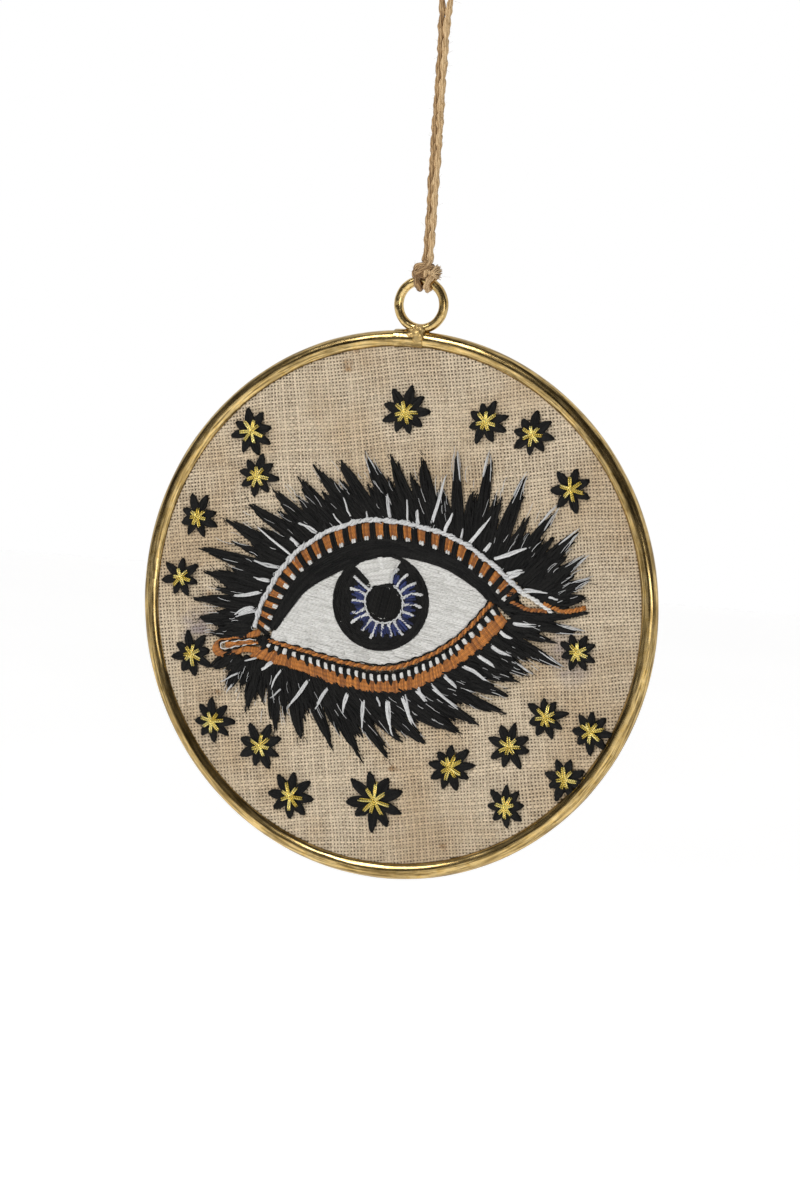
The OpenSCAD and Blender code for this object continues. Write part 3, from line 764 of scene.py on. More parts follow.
def make_floor():
    """A pale round floor well below the ornament."""
    rings, spokes, reach, drop = 12, 64, 6000.0, 420.0
    r = np.concatenate([[1], np.linspace(300, reach, rings)])
    a = np.arange(spokes) * 2 * math.pi / spokes
    points = np.stack([np.outer(r, np.cos(a)), np.outer(r, np.sin(a)),
        np.full((rings + 1, spokes), HOOP[2] - drop)], -1).reshape(-1, 3)
    floor = to_object("floor", points, grid(rings + 1, spokes))
    paint = Paint("floor", grey(0.9), 0.9, Emission_Color=(1, 1, 1, 1), Emission_Strength=0.45)
    paint.colour(paint.ramp(paint.noise(1.5, 2), (0.3, grey(0.9)), (0.7, grey(0.93))))
    floor.data.materials.append(paint.material)


def soft_light(name, at, size, power):
    data = bpy.data.lights.new(name, "AREA")
    data.shape, data.size, data.energy = "DISK", size, power
    light = bpy.data.objects.new(name, data)
    light.location = at
    aim = Vector(HOOP) * MM - Vector(at)
    light.rotation_euler = aim.to_track_quat("-Z", "Y").to_euler()
    bpy.context.scene.collection.objects.link(light)


def make_world():
    """A white tent behind and a dim room in front. The camera itself sees plain white."""
    world = bpy.data.worlds.new("studio")
    bpy.context.scene.world = world
    world.use_nodes = True
    studio = Nodes(world.node_tree)
    tent = studio.tree.nodes["Background"]
    split = studio.node("SeparateXYZ")
    studio.link(studio.node("TexCoord").outputs["Generated"], split.inputs[0])
    to_the_back = studio.calc("MULTIPLY_ADD", split.outputs["Y"], 0.5, 0.5)
    shade = studio.ramp(to_the_back, (0.42, (0.06, 0.055, 0.05)), (0.53, grey(1.0)))
    studio.link(shade, tent.inputs["Color"])
    plain = studio.node("Background")
    plain.inputs["Color"].default_value = (1, 1, 1, 1)
    mix = studio.node("MixShader")
    seen = studio.node("LightPath").outputs["Is Camera Ray"]
    studio.feed(mix.inputs, (seen, tent.outputs[0], plain.outputs[0]))
    studio.link(mix.outputs[0], studio.tree.nodes["World Output"].inputs["Surface"])


make_camera()
make_floor()
make_world()
soft_light("key", (-0.6, -1.15, 0.95), 0.7, 18)
soft_light("fill", (0.9, -1.1, -0.1), 0.5, 2.5)
bpy.context.scene.view_settings.view_transform = "Standard"


# ---------- string ----------

def spun(threads, path, shade, pitch=8.0, bulk=0.45, spread=0.2, slubs=0.12, second_half_light=0.0):
    """Lays a string of two loosely twisted plies. From half way on its tone is raised by the last
    argument, as painted light.
    """
    pick = threads.pick
    step = 0.3
    path = evenly(path, step)
    side, out = carried(path)
    run = np.arange(len(path)) * step
    seed = pick(0, 100)
    lump = np.array([noise.noise(Vector((x * 0.22, seed, 0))) for x in run])
    fine = np.array([noise.noise(Vector((x * 0.9, seed, 5))) for x in run])
    grow = 1 + slubs * lump * 1.6 + slubs * fine
    for p in (0, 1):
        angle = 2 * math.pi * (run / pitch + p / 2) + 0.8 * fine
        offset = (side * np.cos(angle)[:, None] + out * np.sin(angle)[:, None])
        body = path + offset * (spread * grow)[:, None]
        size = bulk * grow * (1 + 0.1 * np.sin(run * 3 + p))
        # From half way on the tone is raised: painted light on the second half of the string.
        tone = shade + second_half_light * (run / run[-1] > 0.5) + pick(-0.15, 0.15)
        threads.lay(body, size, 1.0, 12, tone, (side, out))
    return path, side, out


def add_hairs(threads, strand, count, longest):
    """Loose fibres that stand off a strand and curl."""
    pick = threads.pick
    path, side, out = strand
    ahead = unit(np.gradient(path, axis=0))
    radius, lean = 0.55, 0.6
    for _ in range(count):
        i = int(pick(0, len(path) - 1))
        a = pick(0, 2 * math.pi)
        off = side[i] * math.cos(a) + out[i] * math.sin(a)
        way = ahead[i] * pick(-1, 1) * lean + off * pick(0.3, 0.9)
        curl = np.array([pick(-1, 1), pick(-1, 1), pick(-1, 1)]) * 0.6
        length = longest * pick(0.25, 1) ** 2
        t = np.linspace(0, 1, 6)[:, None]
        hair = path[i] + off * radius * 0.8 + way * length * t + curl * length * t ** 2 * 0.7
        threads.lay(hair, 0.028 * (1 - 0.8 * t.ravel()), 1.0, 3, pick(0.4, 1), carried(hair))


def make_string():
    string = Threads(11, as_is)
    line = smooth(ROUTE, 6)
    # Below the loop the two halves of the string lean on each other
    low = np.clip(-line[:, UP] - 14, 0, 7) / 7
    shared = 0.65 * np.clip(-line[:, UP] - 21, 0, 45) / 45
    line[:, ACROSS] += (shared - line[:, ACROSS]) * 0.22 * low
    # Painted shade: the left half of the string gets a dark tone and the right half a light one, as the
    # left strand lies behind in shade.
    strand = spun(string, line, 0.25, bulk=0.54, spread=0.24, second_half_light=0.5)
    add_hairs(string, strand, 420, 2.0)
    piece = string.piece("string_loop", JUTE, "cord_loop", body=None)
    make_knot()
    make_turns()
    make_tail()
    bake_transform(piece)


def make_knot():
    """The knot above the ring's wire: turns of string drawn tight round each other."""
    knot = Threads(12, as_is)
    t = np.linspace(0, 2 * math.pi, 50)
    high = np.stack([0.2 + 1.45 * np.cos(t), -1.1 * np.sin(t), -70.35 + 0.35 * np.cos(t + 0.5)], -1)
    low = np.stack([0.1 + 1.35 * np.cos(t), -1.15 * np.sin(t), -71.2 - 0.4 * np.cos(t - 0.4)], -1)
    over = smooth([(2.0, 0.5, -70.5), (1.7, -1.0, -70.2), (0.4, -1.7, -70.8),
        (-1.0, -1.5, -71.5), (-1.6, -0.4, -72.0), (-1.1, 1.1, -71.7)], 8)
    under = smooth([(0.9, -0.6, -69.6), (-0.5, -1.2, -69.8), (-1.4, -1.0, -70.5),
        (-1.7, -0.9, -71.3), (-1.4, -1.3, -72), (-1.1, -1.3, -72.5)], 8)
    fill = smooth([(-1.2, -1.4, -72.2), (0.2, -1.6, -72), (1.3, -1.3, -72.2)])
    core = smooth([(-1.1, 0.1, -70.9), (0.2, 0, -70.5), (1.4, 0.1, -70.7)])
    left = smooth([(0.14, 0, -68.85), (0.1, -0.5, -69.8), (-0.5, -0.5, -71.2)])
    right = smooth([(1.16, 0, -68.85), (1.2, -0.7, -69.8), (1.0, -1.5, -71), (1.1, -1.5, -72.2)])
    for line, bulk, shade in ((high, 0.5, 0.4), (low, 0.52, 0.05), (over, 0.46, 0.2),
            (under, 0.48, 0.3), (core, 0.9, 0.0), (fill, 0.46, 0.0), (left, 0.5, 0.2),
            (right, 0.52, 0.75)):
        strand = spun(knot, line, shade, 4.5, bulk)
        add_hairs(knot, strand, 45, 1.8)
    add_hairs(knot, strand, 4, 7.0)
    return knot.piece("string_knot", JUTE, "ring_knot", body="knot")


def make_turns():
    """The turns that hold the ring's wire, each square to it."""
    turns = Threads(13, as_is)
    a = np.linspace(0, 2 * math.pi, 50)
    reach = 1.6
    for lean, shade in ((-10, 0.1), (19, 0.7)):
        up = np.array([math.sin(math.radians(lean)), 0, math.cos(math.radians(lean))])
        level = np.array([0, 1, 0])
        circle = np.outer(np.cos(a + math.pi), up) + np.outer(np.sin(a), level)
        strand = spun(turns, RING + RING_R * up + reach * circle, shade, 5, 0.56, slubs=0.05)
        add_hairs(turns, strand, 45, 1.4)
    return turns.piece("string_turns", JUTE, "knot_wrap", body="wrap")


def make_tail():
    """The short cut end that sticks out of the knot to the right, frayed open."""
    tail = Threads(14, as_is)
    pick = tail.pick
    line = smooth([(0.9, -0.9, -70.8), (1.6, -1.2, -71.2), (2.2, -1.2, -71.4)])
    # The tail's strand and frayed fibres get tones paler than the rest of the string: partly the pale
    # frayed jute, partly painted light that lifts them out of the knot's shade.
    strand = spun(tail, line, 0.9, 4, 0.46)
    add_hairs(tail, strand, 30, 1.4)
    for _ in range(170):
        aim = math.radians(pick(-32, 48))
        start = np.array([1.8, -1.2, -71.3]) + [pick(0, 0.3), pick(-0.4, 0.3), pick(-0.3, 0.3)]
        way = np.array([math.cos(aim), pick(-0.25, 0.15), math.sin(aim)])
        t = np.linspace(0, 1, 5)[:, None]
        bend = np.array([0, 0, pick(-0.25, 0.25)])
        hair = start + way * pick(1.6, 2.5) * t + bend * t ** 2
        # Frayed fibres: pale jute, lightened further as painted light.
        tail.lay(hair, 0.13 * (1 - 0.5 * t.ravel()), 1.0, 5, pick(1.1, 1.6), carried(hair))
    return tail.piece("string_tail", JUTE, "knot_tail", body="knot")


make_string()


# ---------- metal ----------

def revolved(name, centre, ring_r, section, start, end, steps, ripple, grain, seed):
    """Turns a section (out, back) about the line along Y through centre.

    The section is a closed outline round a point at ring_r. ripple dents it a little."""
    whole = end - start > 359.9
    points = []
    for t in np.radians(np.linspace(start, end, steps, endpoint=not whole)):
        for out, depth in section:
            here = Vector((math.cos(t) * grain, math.sin(t) * grain, seed + depth * 2))
            k = 1 + ripple * noise.noise(here)
            r = ring_r + out * k
            points.append((centre[0] + r * math.cos(t), centre[1] + depth * k,
                centre[2] + r * math.sin(t)))
    around = len(section)
    end_face = flat_end(around)
    last_face = (steps - 1) * around + turned_over(end_face)
    tris = () if whole else np.concatenate([end_face, last_face])
    return to_object(name, points, grid(steps, around, closed=(whole, True)), tris)


def c_section(outer, inner, half_gap, steps=40):
    """Outline of a tube wall slit on its inner side."""
    lip = math.pi - math.asin(half_gap / outer)
    wall = [(outer * math.cos(t), outer * math.sin(t)) for t in np.linspace(lip, -lip, steps)]
    lip = math.pi - math.asin(half_gap / inner)
    return wall + [(inner * math.cos(t), inner * math.sin(t))
        for t in np.linspace(-lip, lip, steps // 2)]


def make_hoop():
    tube_wall, sleeve_gap, sleeve_half_gap = 0.4, 0.01, 1.2
    section = c_section(TUBE_R, TUBE_R - tube_wall, -CLOTH_Y)
    hoop = revolved("brass_hoop", HOOP, HOOP_R, section, 0, 360, 720, 0.018, 9.0, 3)
    set_down(hoop, BRASS, "hoop_tube")
    start, end = [math.degrees(math.acos((x - HOOP[0]) / (HOOP_R + SLEEVE_R)))
        for x in (highest("seam_sleeve")[ACROSS], lowest("seam_sleeve")[ACROSS])]
    section = c_section(SLEEVE_R, TUBE_R + sleeve_gap, sleeve_half_gap, 32)
    sleeve = revolved("seam_sleeve_brass", HOOP, HOOP_R, section, start, end, 60, 0.03, 60, 8)
    set_down(sleeve, BRASS, "seam_sleeve")


def make_ring():
    a = np.arange(32) * 2 * math.pi / 32
    section = [(WIRE_R * math.cos(-t), WIRE_R * math.sin(-t)) for t in a]
    ring = revolved("brass_ring", RING, RING_R, section, 0, 360, 160, 0.03, 5.0, 21)
    set_down(ring, WIRE, "hanging_ring")


def make_bead():
    """Brazing that filled the gap between ring and hoop and ran down the front."""
    top = HOOP + [0, 0, HOOP_R]
    blobs = [((0.1, -0.2, 2.4), (1.3, 1.5, 0.8)), ((-1.2, -0.8, 1.9), (0.9, 1.0, 0.55)),
        ((1.0, -0.9, 2.0), (0.7, 1.0, 0.9)), ((0.2, -1.7, 1.2), (1.2, 0.75, 1.0)),
        ((-1.2, -1.8, 0.9), (0.8, 0.55, 0.5)), ((1.1, -1.9, 0.5), (0.6, 0.5, 0.9)),
        ((0.2, -2.0, 0.1), (0.9, 0.4, 0.9)), ((-1.0, 0.8, 2.0), (0.8, 1.0, 0.5))]
    rows, cols = 8, 16
    v = np.linspace(0, math.pi, rows + 2)[1:-1]
    u = np.arange(cols) * 2 * math.pi / cols
    ball = np.stack([np.outer(np.sin(v), np.cos(u)), np.outer(np.sin(v), np.sin(u)),
        np.outer(np.cos(v), np.ones(cols))], -1).reshape(-1, 3)
    ball = np.concatenate([ball, [[0, 0, 1]], [[0, 0, -1]]])
    firsts = np.arange(len(blobs)) * len(ball)
    bead = to_object("braze_bead",
        np.concatenate([ball * size + top + centre for centre, size in blobs]),
        np.concatenate([grid(rows, cols) + first for first in firsts]),
        np.concatenate([caps(rows, cols, flip=True) + first for first in firsts]))
    remesh = bead.modifiers.new("join", "REMESH")
    remesh.mode, remesh.voxel_size, remesh.use_smooth_shade = "VOXEL", 0.16 * MM, True
    melt = bead.modifiers.new("melt", "SMOOTH")
    melt.factor, melt.iterations = 0.6, 5
    shape = bpy.data.meshes.new_from_object(
        bead.evaluated_get(bpy.context.evaluated_depsgraph_get()))
    bead.modifiers.clear()
    bead.data = shape
    for vertex in shape.vertices:
        rough = noise.fractal(vertex.co / MM * 1.6, 0.7, 2.0, 3)
        vertex.co += vertex.normal * rough * 0.08 * MM
    set_down(bead, BRAZE, "solder_bead")


make_hoop()
make_ring()
make_bead()


# ---------- cloth ----------

@functools.cache
def pulled(column, row):
    """How far the weave is drawn sideways at that half step of it, in millimetres."""
    across, up = column * WEAVE / 2, row * WEAVE / 2
    here = Vector((across * 0.06, up * 0.06, 3.0))
    near = Vector((across * 0.22, up * 0.22, 9.0))
    aside, above = Vector((7, 0, 4)), Vector((0, 5, 1))
    return (0.55 * noise.noise(here) + 0.12 * noise.noise(near),
        0.55 * noise.noise(here + aside) + 0.12 * noise.noise(near + above))


def make_yarns(name, seed, over, paint, *nodes):
    """The weft, which runs across and is over at first (over = 1), or the warp (over = -1)."""
    yarns = Threads(seed)
    weft = over == 1
    pick = yarns.pick
    count = int(CLOTH_R / WEAVE)
    for i in range(-count, count + 1):
        line = i * WEAVE
        last = int(math.sqrt(max(CLOTH_R ** 2 - line ** 2, 0)) / WEAVE * 2)
        if last < 4:
            continue
        steps = range(-last, last + 1)
        at = np.array(steps) * WEAVE / 2
        level = np.full_like(at, line)
        flat = np.stack([at, level] if weft else [level, at], -1)
        flat = flat + [pulled(s, 2 * i) if weft else pulled(2 * i, s) for s in steps]
        wave = over * np.cos(math.pi * (at / WEAVE + i))
        thick = np.array([noise.noise(Vector((x * 0.35, i * 3.1, seed))) for x in at])
        nubs = np.array([noise.noise(Vector((x * 1.4, i * 7.7, seed + 3))) for x in at])
        width = 0.265 * pick(0.82, 1.12) * (1 + 0.32 * thick + 0.22 * nubs)
        path = np.column_stack([flat, -0.22 + 0.12 * wave])
        yarns.strip(path, width, 0.15, pick(0.4, 0.9))
    return yarns.piece(name, paint, *nodes)


def make_linen():
    """Plain weave, yarn by yarn."""
    weft = make_yarns("linen_weft", 31, 1, WEFT, "face_linen")
    warp = make_yarns("linen_warp", 32, -1, WARP)


def make_backing():
    """The felt on the back, round and a little uneven, and the paint of card and wadding; the wadding's
    dark brown is painted shade for the holes of the weave.
    """
    rings, spokes, bumps = 90, 300, 0.03
    points = []
    for r in BACK_R * np.sqrt(np.linspace(0.0002, 1, rings)):
        for t in np.arange(spokes) * 2 * math.pi / spokes:
            x, z = r * math.cos(t), r * math.sin(t)
            h = bumps * noise.fractal(Vector((x * 0.5, z * 0.5, 5)), 0.8, 2.0, 3)
            points.append((HOOP[0] + x, BACK_Y + h, HOOP[2] + z))
    back = to_object("back_cloth", points, grid(rings, spokes, flip=True),
        turned_over(flat_end(spokes)))
    set_down(back, BACKING, "back_felt")
    for node, material in (("card_core", CARD), ("felt_pad", WADDING_PAINTED_SHADE)):
        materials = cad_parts[node].data.materials
        materials.clear()
        materials.append(material)


make_linen()
make_backing()


# ---------- lashes ----------

def lash(threads, root, tip, width, strands, base=0.0):
    """A clump of stitches side by side that ends in a slanted, ragged point."""
    pick = threads.pick
    root, tip = np.asarray(root, float), np.asarray(tip, float)
    ahead = tip - root
    side = square_to(ahead)
    bow = pick(-0.5, 0.5)
    slant = pick(-0.8, 0.8)
    for s in np.linspace(-1, 1, strands):
        reach = 1 - 0.15 * abs(s - slant * 0.6) - pick(0, 0.12)
        start = root + side * s * width * 0.42 + ahead * pick(-0.03, 0.03)
        end = root + ahead * reach + side * (s * width * pick(0.18, 0.3) + pick(-0.1, 0.1))
        break_at = pick(0.34, 0.66)
        bulge = 0.14 * width * s + bow * 0.6
        middle = start + (end - start) * break_at + side * bulge
        thick = pick(0.44, 0.6)
        lift = pick(0.34, 0.56)
        bend = s * 0.05 * width
        threads.stitch(start, middle + (end - start) * 0.05, thick, lift, bend=bend, base=base)
        threads.stitch(middle - (end - start) * 0.04, end, thick, lift, bend=bend, base=base,
            taper=0.25)
    for _ in range(strands):
        s = pick(-0.9, 0.9)
        f0 = pick(0, 0.6)
        f1 = f0 + pick(0.2, 0.34)
        lean = pick(-0.5, 0.5)
        threads.stitch(root + ahead * f0 + side * s * width * 0.46 * (1 - 0.3 * f0),
            root + ahead * f1 + side * (s * width * 0.46 * (1 - 0.45 * f1) + lean),
            pick(0.4, 0.54), pick(0.5, 0.68), bend=pick(-0.2, 0.2), base=base)
    stray_threads = 7
    for _ in range(stray_threads):
        s, f = pick(-1, 1), pick(0.55, 0.95)
        start = root + ahead * f + side * s * width * 0.3
        way = ahead / np.linalg.norm(ahead) + side * pick(-0.7, 0.7)
        threads.stitch(start, start + way * pick(0.5, 1.5), 0.12, 0.3, bend=pick(-0.15, 0.15))


def make_lashes(name, node, roots, tips, shorter, seed):
    """Long clumps at the tips, and between each two a shorter one, a root and a leaning one."""
    hair = Threads(seed)
    pick = hair.pick
    last = len(tips) - 1
    for i, tip in enumerate(tips):
        lash(hair, along(roots, i / last), tip, pick(2.3, 3.0), 9)
    for i in range(last):
        root = along(roots, (i + 0.5) / last)
        ahead = (np.array(tips[i]) + tips[i + 1]) / 2 - root
        lash(hair, root, root + ahead * pick(*shorter), pick(1.4, 2.0), 6, -0.05)
        lash(hair, root, root + ahead * 0.44, 3.0, 9, -0.1)
        aside = square_to(ahead) * pick(0.8, 1.4) * (1 if i % 2 else -1)
        end = root + ahead * pick(0.5, 0.74) + aside * 1.2
        lash(hair, root + aside * 0.6, end, pick(1.1, 1.6), 5, -0.08)
    hair.piece(name, BLACK, node)


def make_lights(name, node, lights, longer, roots, tips, tipped, seed):
    """Pale stitches at the roots of the lashes, and thin ones along a few of their tips."""
    pale = Threads(seed)
    pick = pale.pick
    for start, end, strands in lights:
        start = np.array(start)
        ahead = (np.array(end) - start) * longer
        side = square_to(ahead)
        bend = pick(-0.35, 0.35)
        for k in range(strands):
            s = (k - (strands - 1) / 2) * 0.44
            reach = pick(0.72, 1)
            t = np.linspace(0, 1, 9)
            wave = s * (1 - 0.6 * t) + bend * np.sin(t * math.pi)
            wave = wave + pick(-0.16, 0.16) * np.sin(t * pick(6, 11) + pick(0, 6))
            line = start + np.outer(t, ahead) * reach + np.outer(wave, side)
            pale.follow(line, pick(0.46, 0.62), pick(0.6, 0.74), base=0.1, taper=0.5)
    last = len(tips) - 1
    for _ in range(5 * last):
        f, g = pick(0, 1), pick(0.15, 0.75)
        root = along(roots, f)
        ahead = (np.array(tips[int(f * last)]) + tips[int(f * last) + 1]) / 2 - root
        start = root + ahead * g + square_to(ahead) * pick(-1.5, 1.5)
        end = start + ahead * pick(0.08, 0.26)
        pale.stitch(start, end, pick(0.07, 0.13), 0.72, bend=pick(-0.3, 0.3), base=0.12)
    for i in tipped:
        root = along(roots, i / last)
        ahead = np.array(tips[i], float) - root
        side = square_to(ahead)
        for _ in range(7):
            edge = side * pick(0.6, 1) * (1 if pick(0, 1) < 0.6 else -1)
            start = root + ahead * pick(0.55, 0.8) + edge * 1.1
            end = root + ahead * pick(0.9, 1.04) + edge * pick(0.2, 0.5)
            pale.stitch(start, end, pick(0.09, 0.16), 0.6, bend=pick(-0.25, 0.25), base=0.12)
    pale.piece(name, GREY, node)


make_lashes("lashes_upper", "upper_lashes", ROOTS_UP, UPPER_TIPS, (0.52, 0.86), 41)
make_lashes("lashes_lower", "lower_lashes", ROOTS_LOW, LOWER_TIPS, (0.54, 0.88), 42)
make_lights("lash_lights_upper", "upper_lash_lights", UPPER_LIGHTS, 1.2, ROOTS_UP, UPPER_TIPS,
    (11, 14, 15, 16, 17, 18, 19, 20), 43)
make_lights("lash_lights_lower", "lower_lash_lights", LOWER_LIGHTS, 1.35, ROOTS_LOW, LOWER_TIPS,
    (1, 16, 17, 18), 44)


# ---------- eye ----------

def make_sclera():
    white = Threads(51)
    outline = np.concatenate([smooth(SCLERA_TOP), smooth(SCLERA_LOW)[::-1]])
    white.satin(outline, -0.32, 0.32, 3.6, 0.34, stray=0.5)
    white.piece("sclera", WHITE, "sclera_satin")


def under_lid(point):
    top = smooth(SCLERA_TOP)
    return point[1] > np.interp(point[0], top[:, 0], top[:, 1]) + 0.3


def make_iris_ring():
    """Black spokes all round, and over them short stitches in rings."""
    black = Threads(52)
    pick = black.pick
    reach, pitch, squash = IRIS_R - 0.3, 0.33, np.array([1, 0.95])
    spokes = 70
    for i in range(spokes):
        edge = IRIS + squash * toward(2 * math.pi * i / spokes) * (reach - 0.3)
        while under_lid(edge):
            edge = edge + (PUPIL - edge) * 0.04
        root = PUPIL + (edge - PUPIL) * 0.42
        if not any(inside(root + (edge - root) * f, GLINT) for f in (0, 0.3, 0.6, 0.9, 1)):
            black.stitch(edge, root, 1.0, 0.52, 0.3)
    rows = int((reach - PUPIL_R) / pitch)
    for row in range(rows + 1):
        share = row / rows
        radius = PUPIL_R + (reach - PUPIL_R) * share - 0.1
        centre = PUPIL + (IRIS - PUPIL) * share
        at = pick(0, 1)
        end = at + 2 * math.pi
        while at < end:
            arc = pick(1.8, 3.2) / radius
            line = []
            for a in np.linspace(at, min(at + arc * 1.4, end + 0.3), 6):
                p = centre + radius * (squash * toward(a))
                if inside(p, GLINT) or under_lid(p):
                    break
                line.append(p)
            if len(line) > 1:
                black.follow(line, pick(0.46, 0.56), pick(0.5, 0.6))
            at += arc if len(line) > 5 else 0.04
    return black


def make_iris():
    black = make_iris_ring()
    blue, pale = Threads(53), Threads(54)
    pick = black.pick
    spokes, spokes_from, spokes_turn = 17, 118, 304

    def clear_of_glint(p, q):
        return not inside((p + q) / 2, GLINT) and not inside(q, GLINT)

    for i in range(spokes):
        a = math.radians(spokes_from + (i + 1) * spokes_turn / spokes)
        for k in range(4):
            way = toward(a + math.radians((k - 1.5) * 4.4 + 9))
            p, q = PUPIL + way * (PUPIL_R + 0.4), PUPIL + way * pick(6.4, 8.4)
            if clear_of_glint(p, q):
                blue.stitch(p, q, pick(0.46, 0.6), pick(0.56, 0.76), bend=pick(-0.15, 0.15),
                    base=0.06)
        way = toward(a)
        p, q = PUPIL + way * (PUPIL_R + 0.5), PUPIL + way * pick(6.9, 9.4)
        lean = square_to(way) * pick(-0.5, 0.5)
        if clear_of_glint(p, q):
            pale.rope([p, (p + q) / 2 + lean, q + lean * pick(-1, 1)], 0.62, 0.78, 1.3, 2, 0.07)
    rim = [PUPIL + (PUPIL_R + 0.35) * toward(t) for t in np.radians(np.linspace(124, 417, 24))]
    pale.rope(rim, 0.44, 0.72, 1.1, 2, 0.1)
    black.piece("iris_rim", BLACK, "iris_black")
    blue.piece("iris_spokes", BLUE, "iris_blue")
    pale.piece("iris_dashes", GREY, "iris_grey")


def make_pupil():
    dark, shine = Threads(55), Threads(56)
    a = np.arange(48) * 2 * math.pi / 48
    edge = PUPIL + (PUPIL_R + 0.3) * np.stack([np.cos(a), np.sin(a)], -1)
    dark.satin(edge, 1.2, 0.3, 24.0, 0.62, stray=0.1)
    dark.piece("pupil_satin", BLACK, "pupil")
    shine.satin(GLINT, 0.05, 0.32, 8.0, 0.66)
    shine.piece("glint_satin", WHITE, "glint")


def make_upper_lid():
    black, orange, bars, tips, edge = (Threads(s) for s in (61, 62, 63, 64, 65))
    pick = black.pick
    layers = 9
    inner, outer = smooth(SCLERA_TOP, 8), smooth(LID_INNER, 8)
    for layer in range(layers):
        line = evenly(inner + (outer - inner) * ((layer + 0.5) / layers), 0.3)
        at = int(pick(4, 12))
        while at < len(line) - 3:
            step = min(int(pick(12, 22)), len(line) - 1 - at)
            black.follow(line[at:at + step + 1], pick(0.5, 0.68), pick(0.4, 0.55))
            at += int(step * 0.6) + 1
    count = 26
    for i in range(count):
        mid = (i + 0.5) / count
        bars.across_band(LID_INNER, LID_OUTER, mid - 0.22 / count, mid + 0.22 / count, 0.4, 0.6,
            0.25, (-0.08, 0.98), 0.06)
        if i:
            f = i / count
            orange.across_band(LID_INNER, LID_OUTER, f - 0.3 / count, f + 0.3 / count, 0.36, 0.45,
                0.1, (0.1, 1.0))
            tips.across_band(LID_INNER, LID_OUTER, f - 0.17 / count, f + 0.17 / count, 0.4, 0.5,
                0.2, (0.0, 0.22 + 0.2 * (f < 0.25)), 0.05)
    line = [(np.array(a) + b) / 2 for a, b in zip(LID_OUTER, OUTLINE)]
    edge.rope(line, 1.0, 0.4, 2.6, 3, 0.15)
    path = evenly(smooth(line, 8), 0.3)
    stray_hairs = 90
    for _ in range(stray_hairs):
        start = path[int(pick(0, len(path) - 1))] + [pick(-0.5, 0.5), pick(-0.5, 0.5)]
        end = start + [pick(-1.1, 1.1), pick(-1.1, 1.1)]
        edge.stitch(start, end, 0.1, 0.75, bend=pick(-0.3, 0.3))
    black.piece("lid_black", BLACK, "upper_lid_black")
    orange.piece("lid_orange", ORANGE, "upper_lid_orange")
    bars.piece("lid_bars", BLACK, "upper_lid_bars")
    tips.piece("lid_tips", WHITE, "upper_lid_tips")
    edge.piece("lid_outline", GREY, "upper_lid_outline")


def make_lower_lid():
    chain, black, dashes, orange = (Threads(s) for s in (71, 72, 73, 74))
    between = [np.array(a) * 0.55 + np.array(b) * 0.45 for a, b in zip(SCLERA_LOW, LINE_LOW)]
    chain.rope(between, 0.95, 0.42, 1.9, 2)
    black.rope([np.array(a) + (0.0, -0.05) for a in SCLERA_LOW], 0.6, 0.46, 3.0, 1)
    black.rope(LINE_LOW, 0.8, 0.44, 3.0, 1)
    pick = black.pick
    count = 32
    for i in range(count):
        mid = (i + 0.5) / count
        root, tip = along(LINE_LOW, mid), along(BAND_LOW, mid)
        tip = root + (tip - root) * pick(0.5, 0.78)
        side = square_to(tip - root)
        for s in (-0.38, -0.13, 0.13, 0.38):
            black.stitch(root + side * s * 1.5, tip - (tip - root) * abs(s) * 0.5 + side * s * 0.3,
                0.42, 0.5, base=0.1, taper=0.3)
        if i:
            f = i / count
            black.across_band(LINE_LOW, TEETH_LOW, f - 0.2 / count, f + 0.2 / count, 0.4, 0.4,
                0.05, (0.0, 0.3))
            dashes.across_band(LINE_LOW, TEETH_LOW, f - 0.17 / count, f + 0.17 / count, 0.34, 0.5,
                0.25, (0.14, pick(0.5, 0.62)), 0.04, 0.7)
    for f in np.arange(0, 0.985, 0.03):
        orange.across_band(LINE_LOW, BAND_LOW, f, f + 0.031, 0.33, 0.42, 0.15,
            (0.33, pick(0.97, 1.1)), width=0.56)
    black.piece("lid_teeth", BLACK, "lower_lid_black")
    chain.piece("lid_chain", ORANGE, "lower_lid_line")
    dashes.piece("lid_dashes", WHITE, "lower_lid_dashes")
    orange.piece("lid_band", ORANGE, "lower_lid_orange")


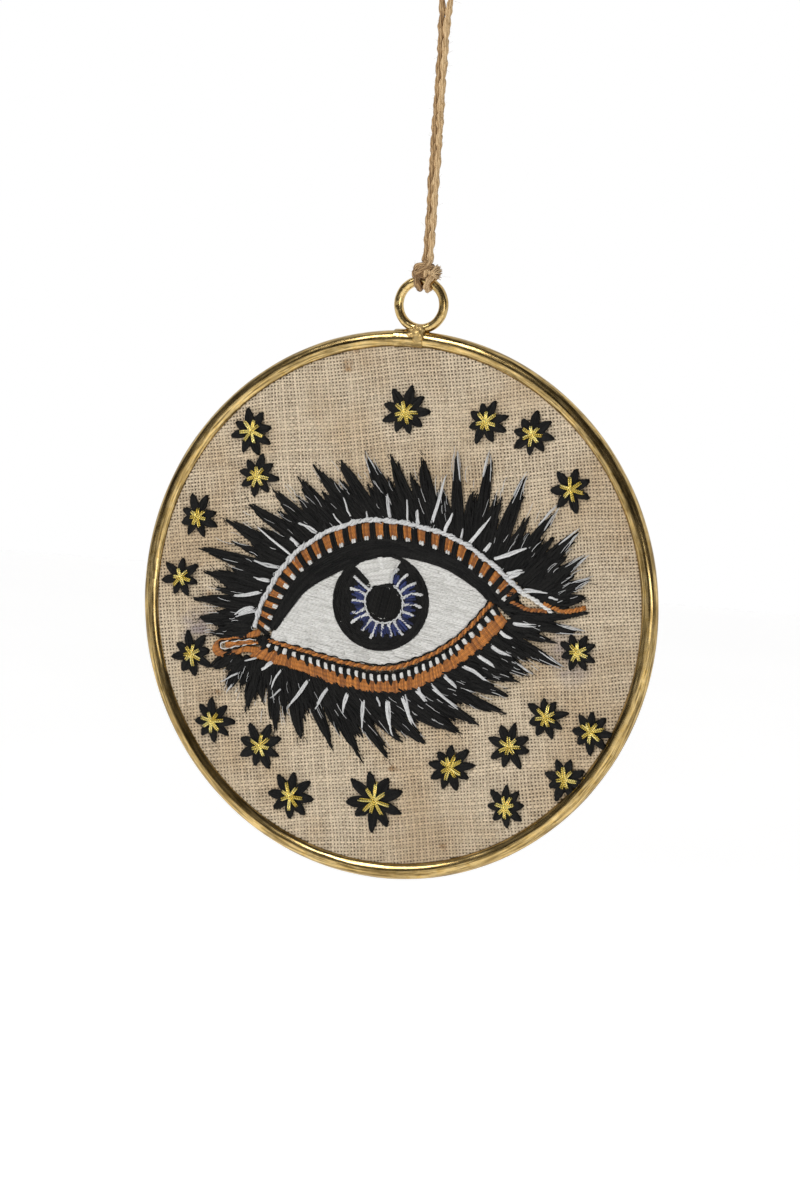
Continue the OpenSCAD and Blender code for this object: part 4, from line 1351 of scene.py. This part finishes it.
def make_corners():
    loop, lining, stroke, orange, white = (Threads(s) for s in (81, 82, 83, 84, 85))
    outer, inner = evenly(smooth(TEAR_OUTER), 0.3), evenly(smooth(TEAR_INNER), 0.3)
    pick = loop.pick
    for i, a in enumerate(outer):
        f = i / (len(outer) - 1)
        b = inner[int(f * (len(inner) - 1))]
        loop.stitch(a, b + (a - b) * 0.12, pick(0.38, 0.48), pick(0.38, 0.48))
    loop.satin([(-39.3, -5), (-34, -5.1), (-31, -5), (-31, -5.9), (-34, -5.9), (-39.2, -6.2)],
        0.0, 0.3, 4, 0.46, under=False)
    lining.rope([(-31.6, -4.9), (-35, -4.9), (-39.3, -4.9), (-40, -5.6), (-39.3, -6.4),
        (-35, -6), (-31.8, -5.9)], 0.42, 0.5, 2.4, 1)
    stroke.rope(TEAR_INNER, 0.5, 0.52, 3, 1)
    corner = [(20.6, -0.6), (23, 0.2), (25, 1.6), (27.2, 0.6), (27.4, -1), (30, -3.2), (34, -4.1),
        (38, -4.5), (42.4, -4.2), (42.2, -4.8), (38, -5.4), (34, -5.8), (30, -5.4), (26, -4.2),
        (24.4, -3.4), (22.6, -1.6)]
    stroke.satin(corner, -0.2, 0.32, 5, 0.48, stray=0.4)
    stroke.satin([(-32.4, -5.4), (-31, -4.2), (-28.6, -4.4), (-28.4, -6), (-30, -6.8)],
        0.9, 0.36, 3, 0.5)
    orange.rope([(25.6, -0.9), (28, -2.2), (30, -3), (33.6, -3.6)], 0.9, 0.5, 1.6, 2)
    orange.rope([(33, -1.9), (35, -2.9), (37.4, -3.9), (40, -3.8), (41.8, -3.5)], 1.0, 0.5, 1.6, 2)
    white.rope([(28.4, 0.6), (31, -1), (33, -2.6), (34.8, -3.9)], 0.9, 0.5, 2.2, 2)
    white.stitch((23.8, -0.6), (25.2, 0.4), 0.5, 0.6, base=0.1)
    loop.piece("tear_loop_satin", ORANGE, "tear_loop")
    lining.piece("tear_lining", WHITE, "tear_loop_white")
    stroke.piece("tail_stroke", BLACK, "tail_black")
    orange.piece("tail_rope", ORANGE, "tail_orange")
    white.piece("tail_light", WHITE, "tail_white")


make_sclera()
make_iris()
make_pupil()
make_upper_lid()
make_lower_lid()
make_corners()


# ---------- flowers ----------

def make_petals(petals, centre, reach, count, turn):
    pick = petals.pick
    for k in range(count):
        way = toward(math.radians(turn + k * 360 / count + pick(-5, 5)))
        tip = centre + way * reach * pick(0.86, 1.14)
        side = square_to(way)
        root = centre + way * 0.5
        span = 1.95 * reach / 4.7 * pick(0.85, 1.15)
        for s in np.linspace(-1, 1, 7):
            length = (tip - root) * (1 - 0.2 * s * s * pick(0.7, 1.3))
            petals.stitch(root + side * s * 0.32, root + length + side * s * span * 0.27,
                pick(0.42, 0.52), pick(0.42, 0.56), bend=s * span * 0.17)


def make_star(gold, pick, centre, reach, rays, turn):
    for k in range(rays):
        way = toward(math.radians(turn + 14 + k * 360 / rays + pick(-9, 9)))
        end = centre + way * reach * pick(0.42, 0.64)
        side = square_to(way) * 0.18
        for s in (-1, 1):
            gold.stitch(centre - way * 0.2 + side * s * 0.4, end + side * s, pick(0.3, 0.4),
                pick(0.6, 0.85), base=0.14, bend=s * 0.08)


def make_flowers():
    petals, gold = Threads(91), Threads(92)
    for across, up, reach, count, turn in STARS:
        centre = np.array([across, up], float)
        make_petals(petals, centre, reach, count, turn)
        make_star(gold, petals.pick, centre, reach, count - 1, turn)
    petals.piece("flower_petals", BLACK, "star_petals")
    gold.piece("flower_gold", GOLD, "star_gold")


make_flowers()
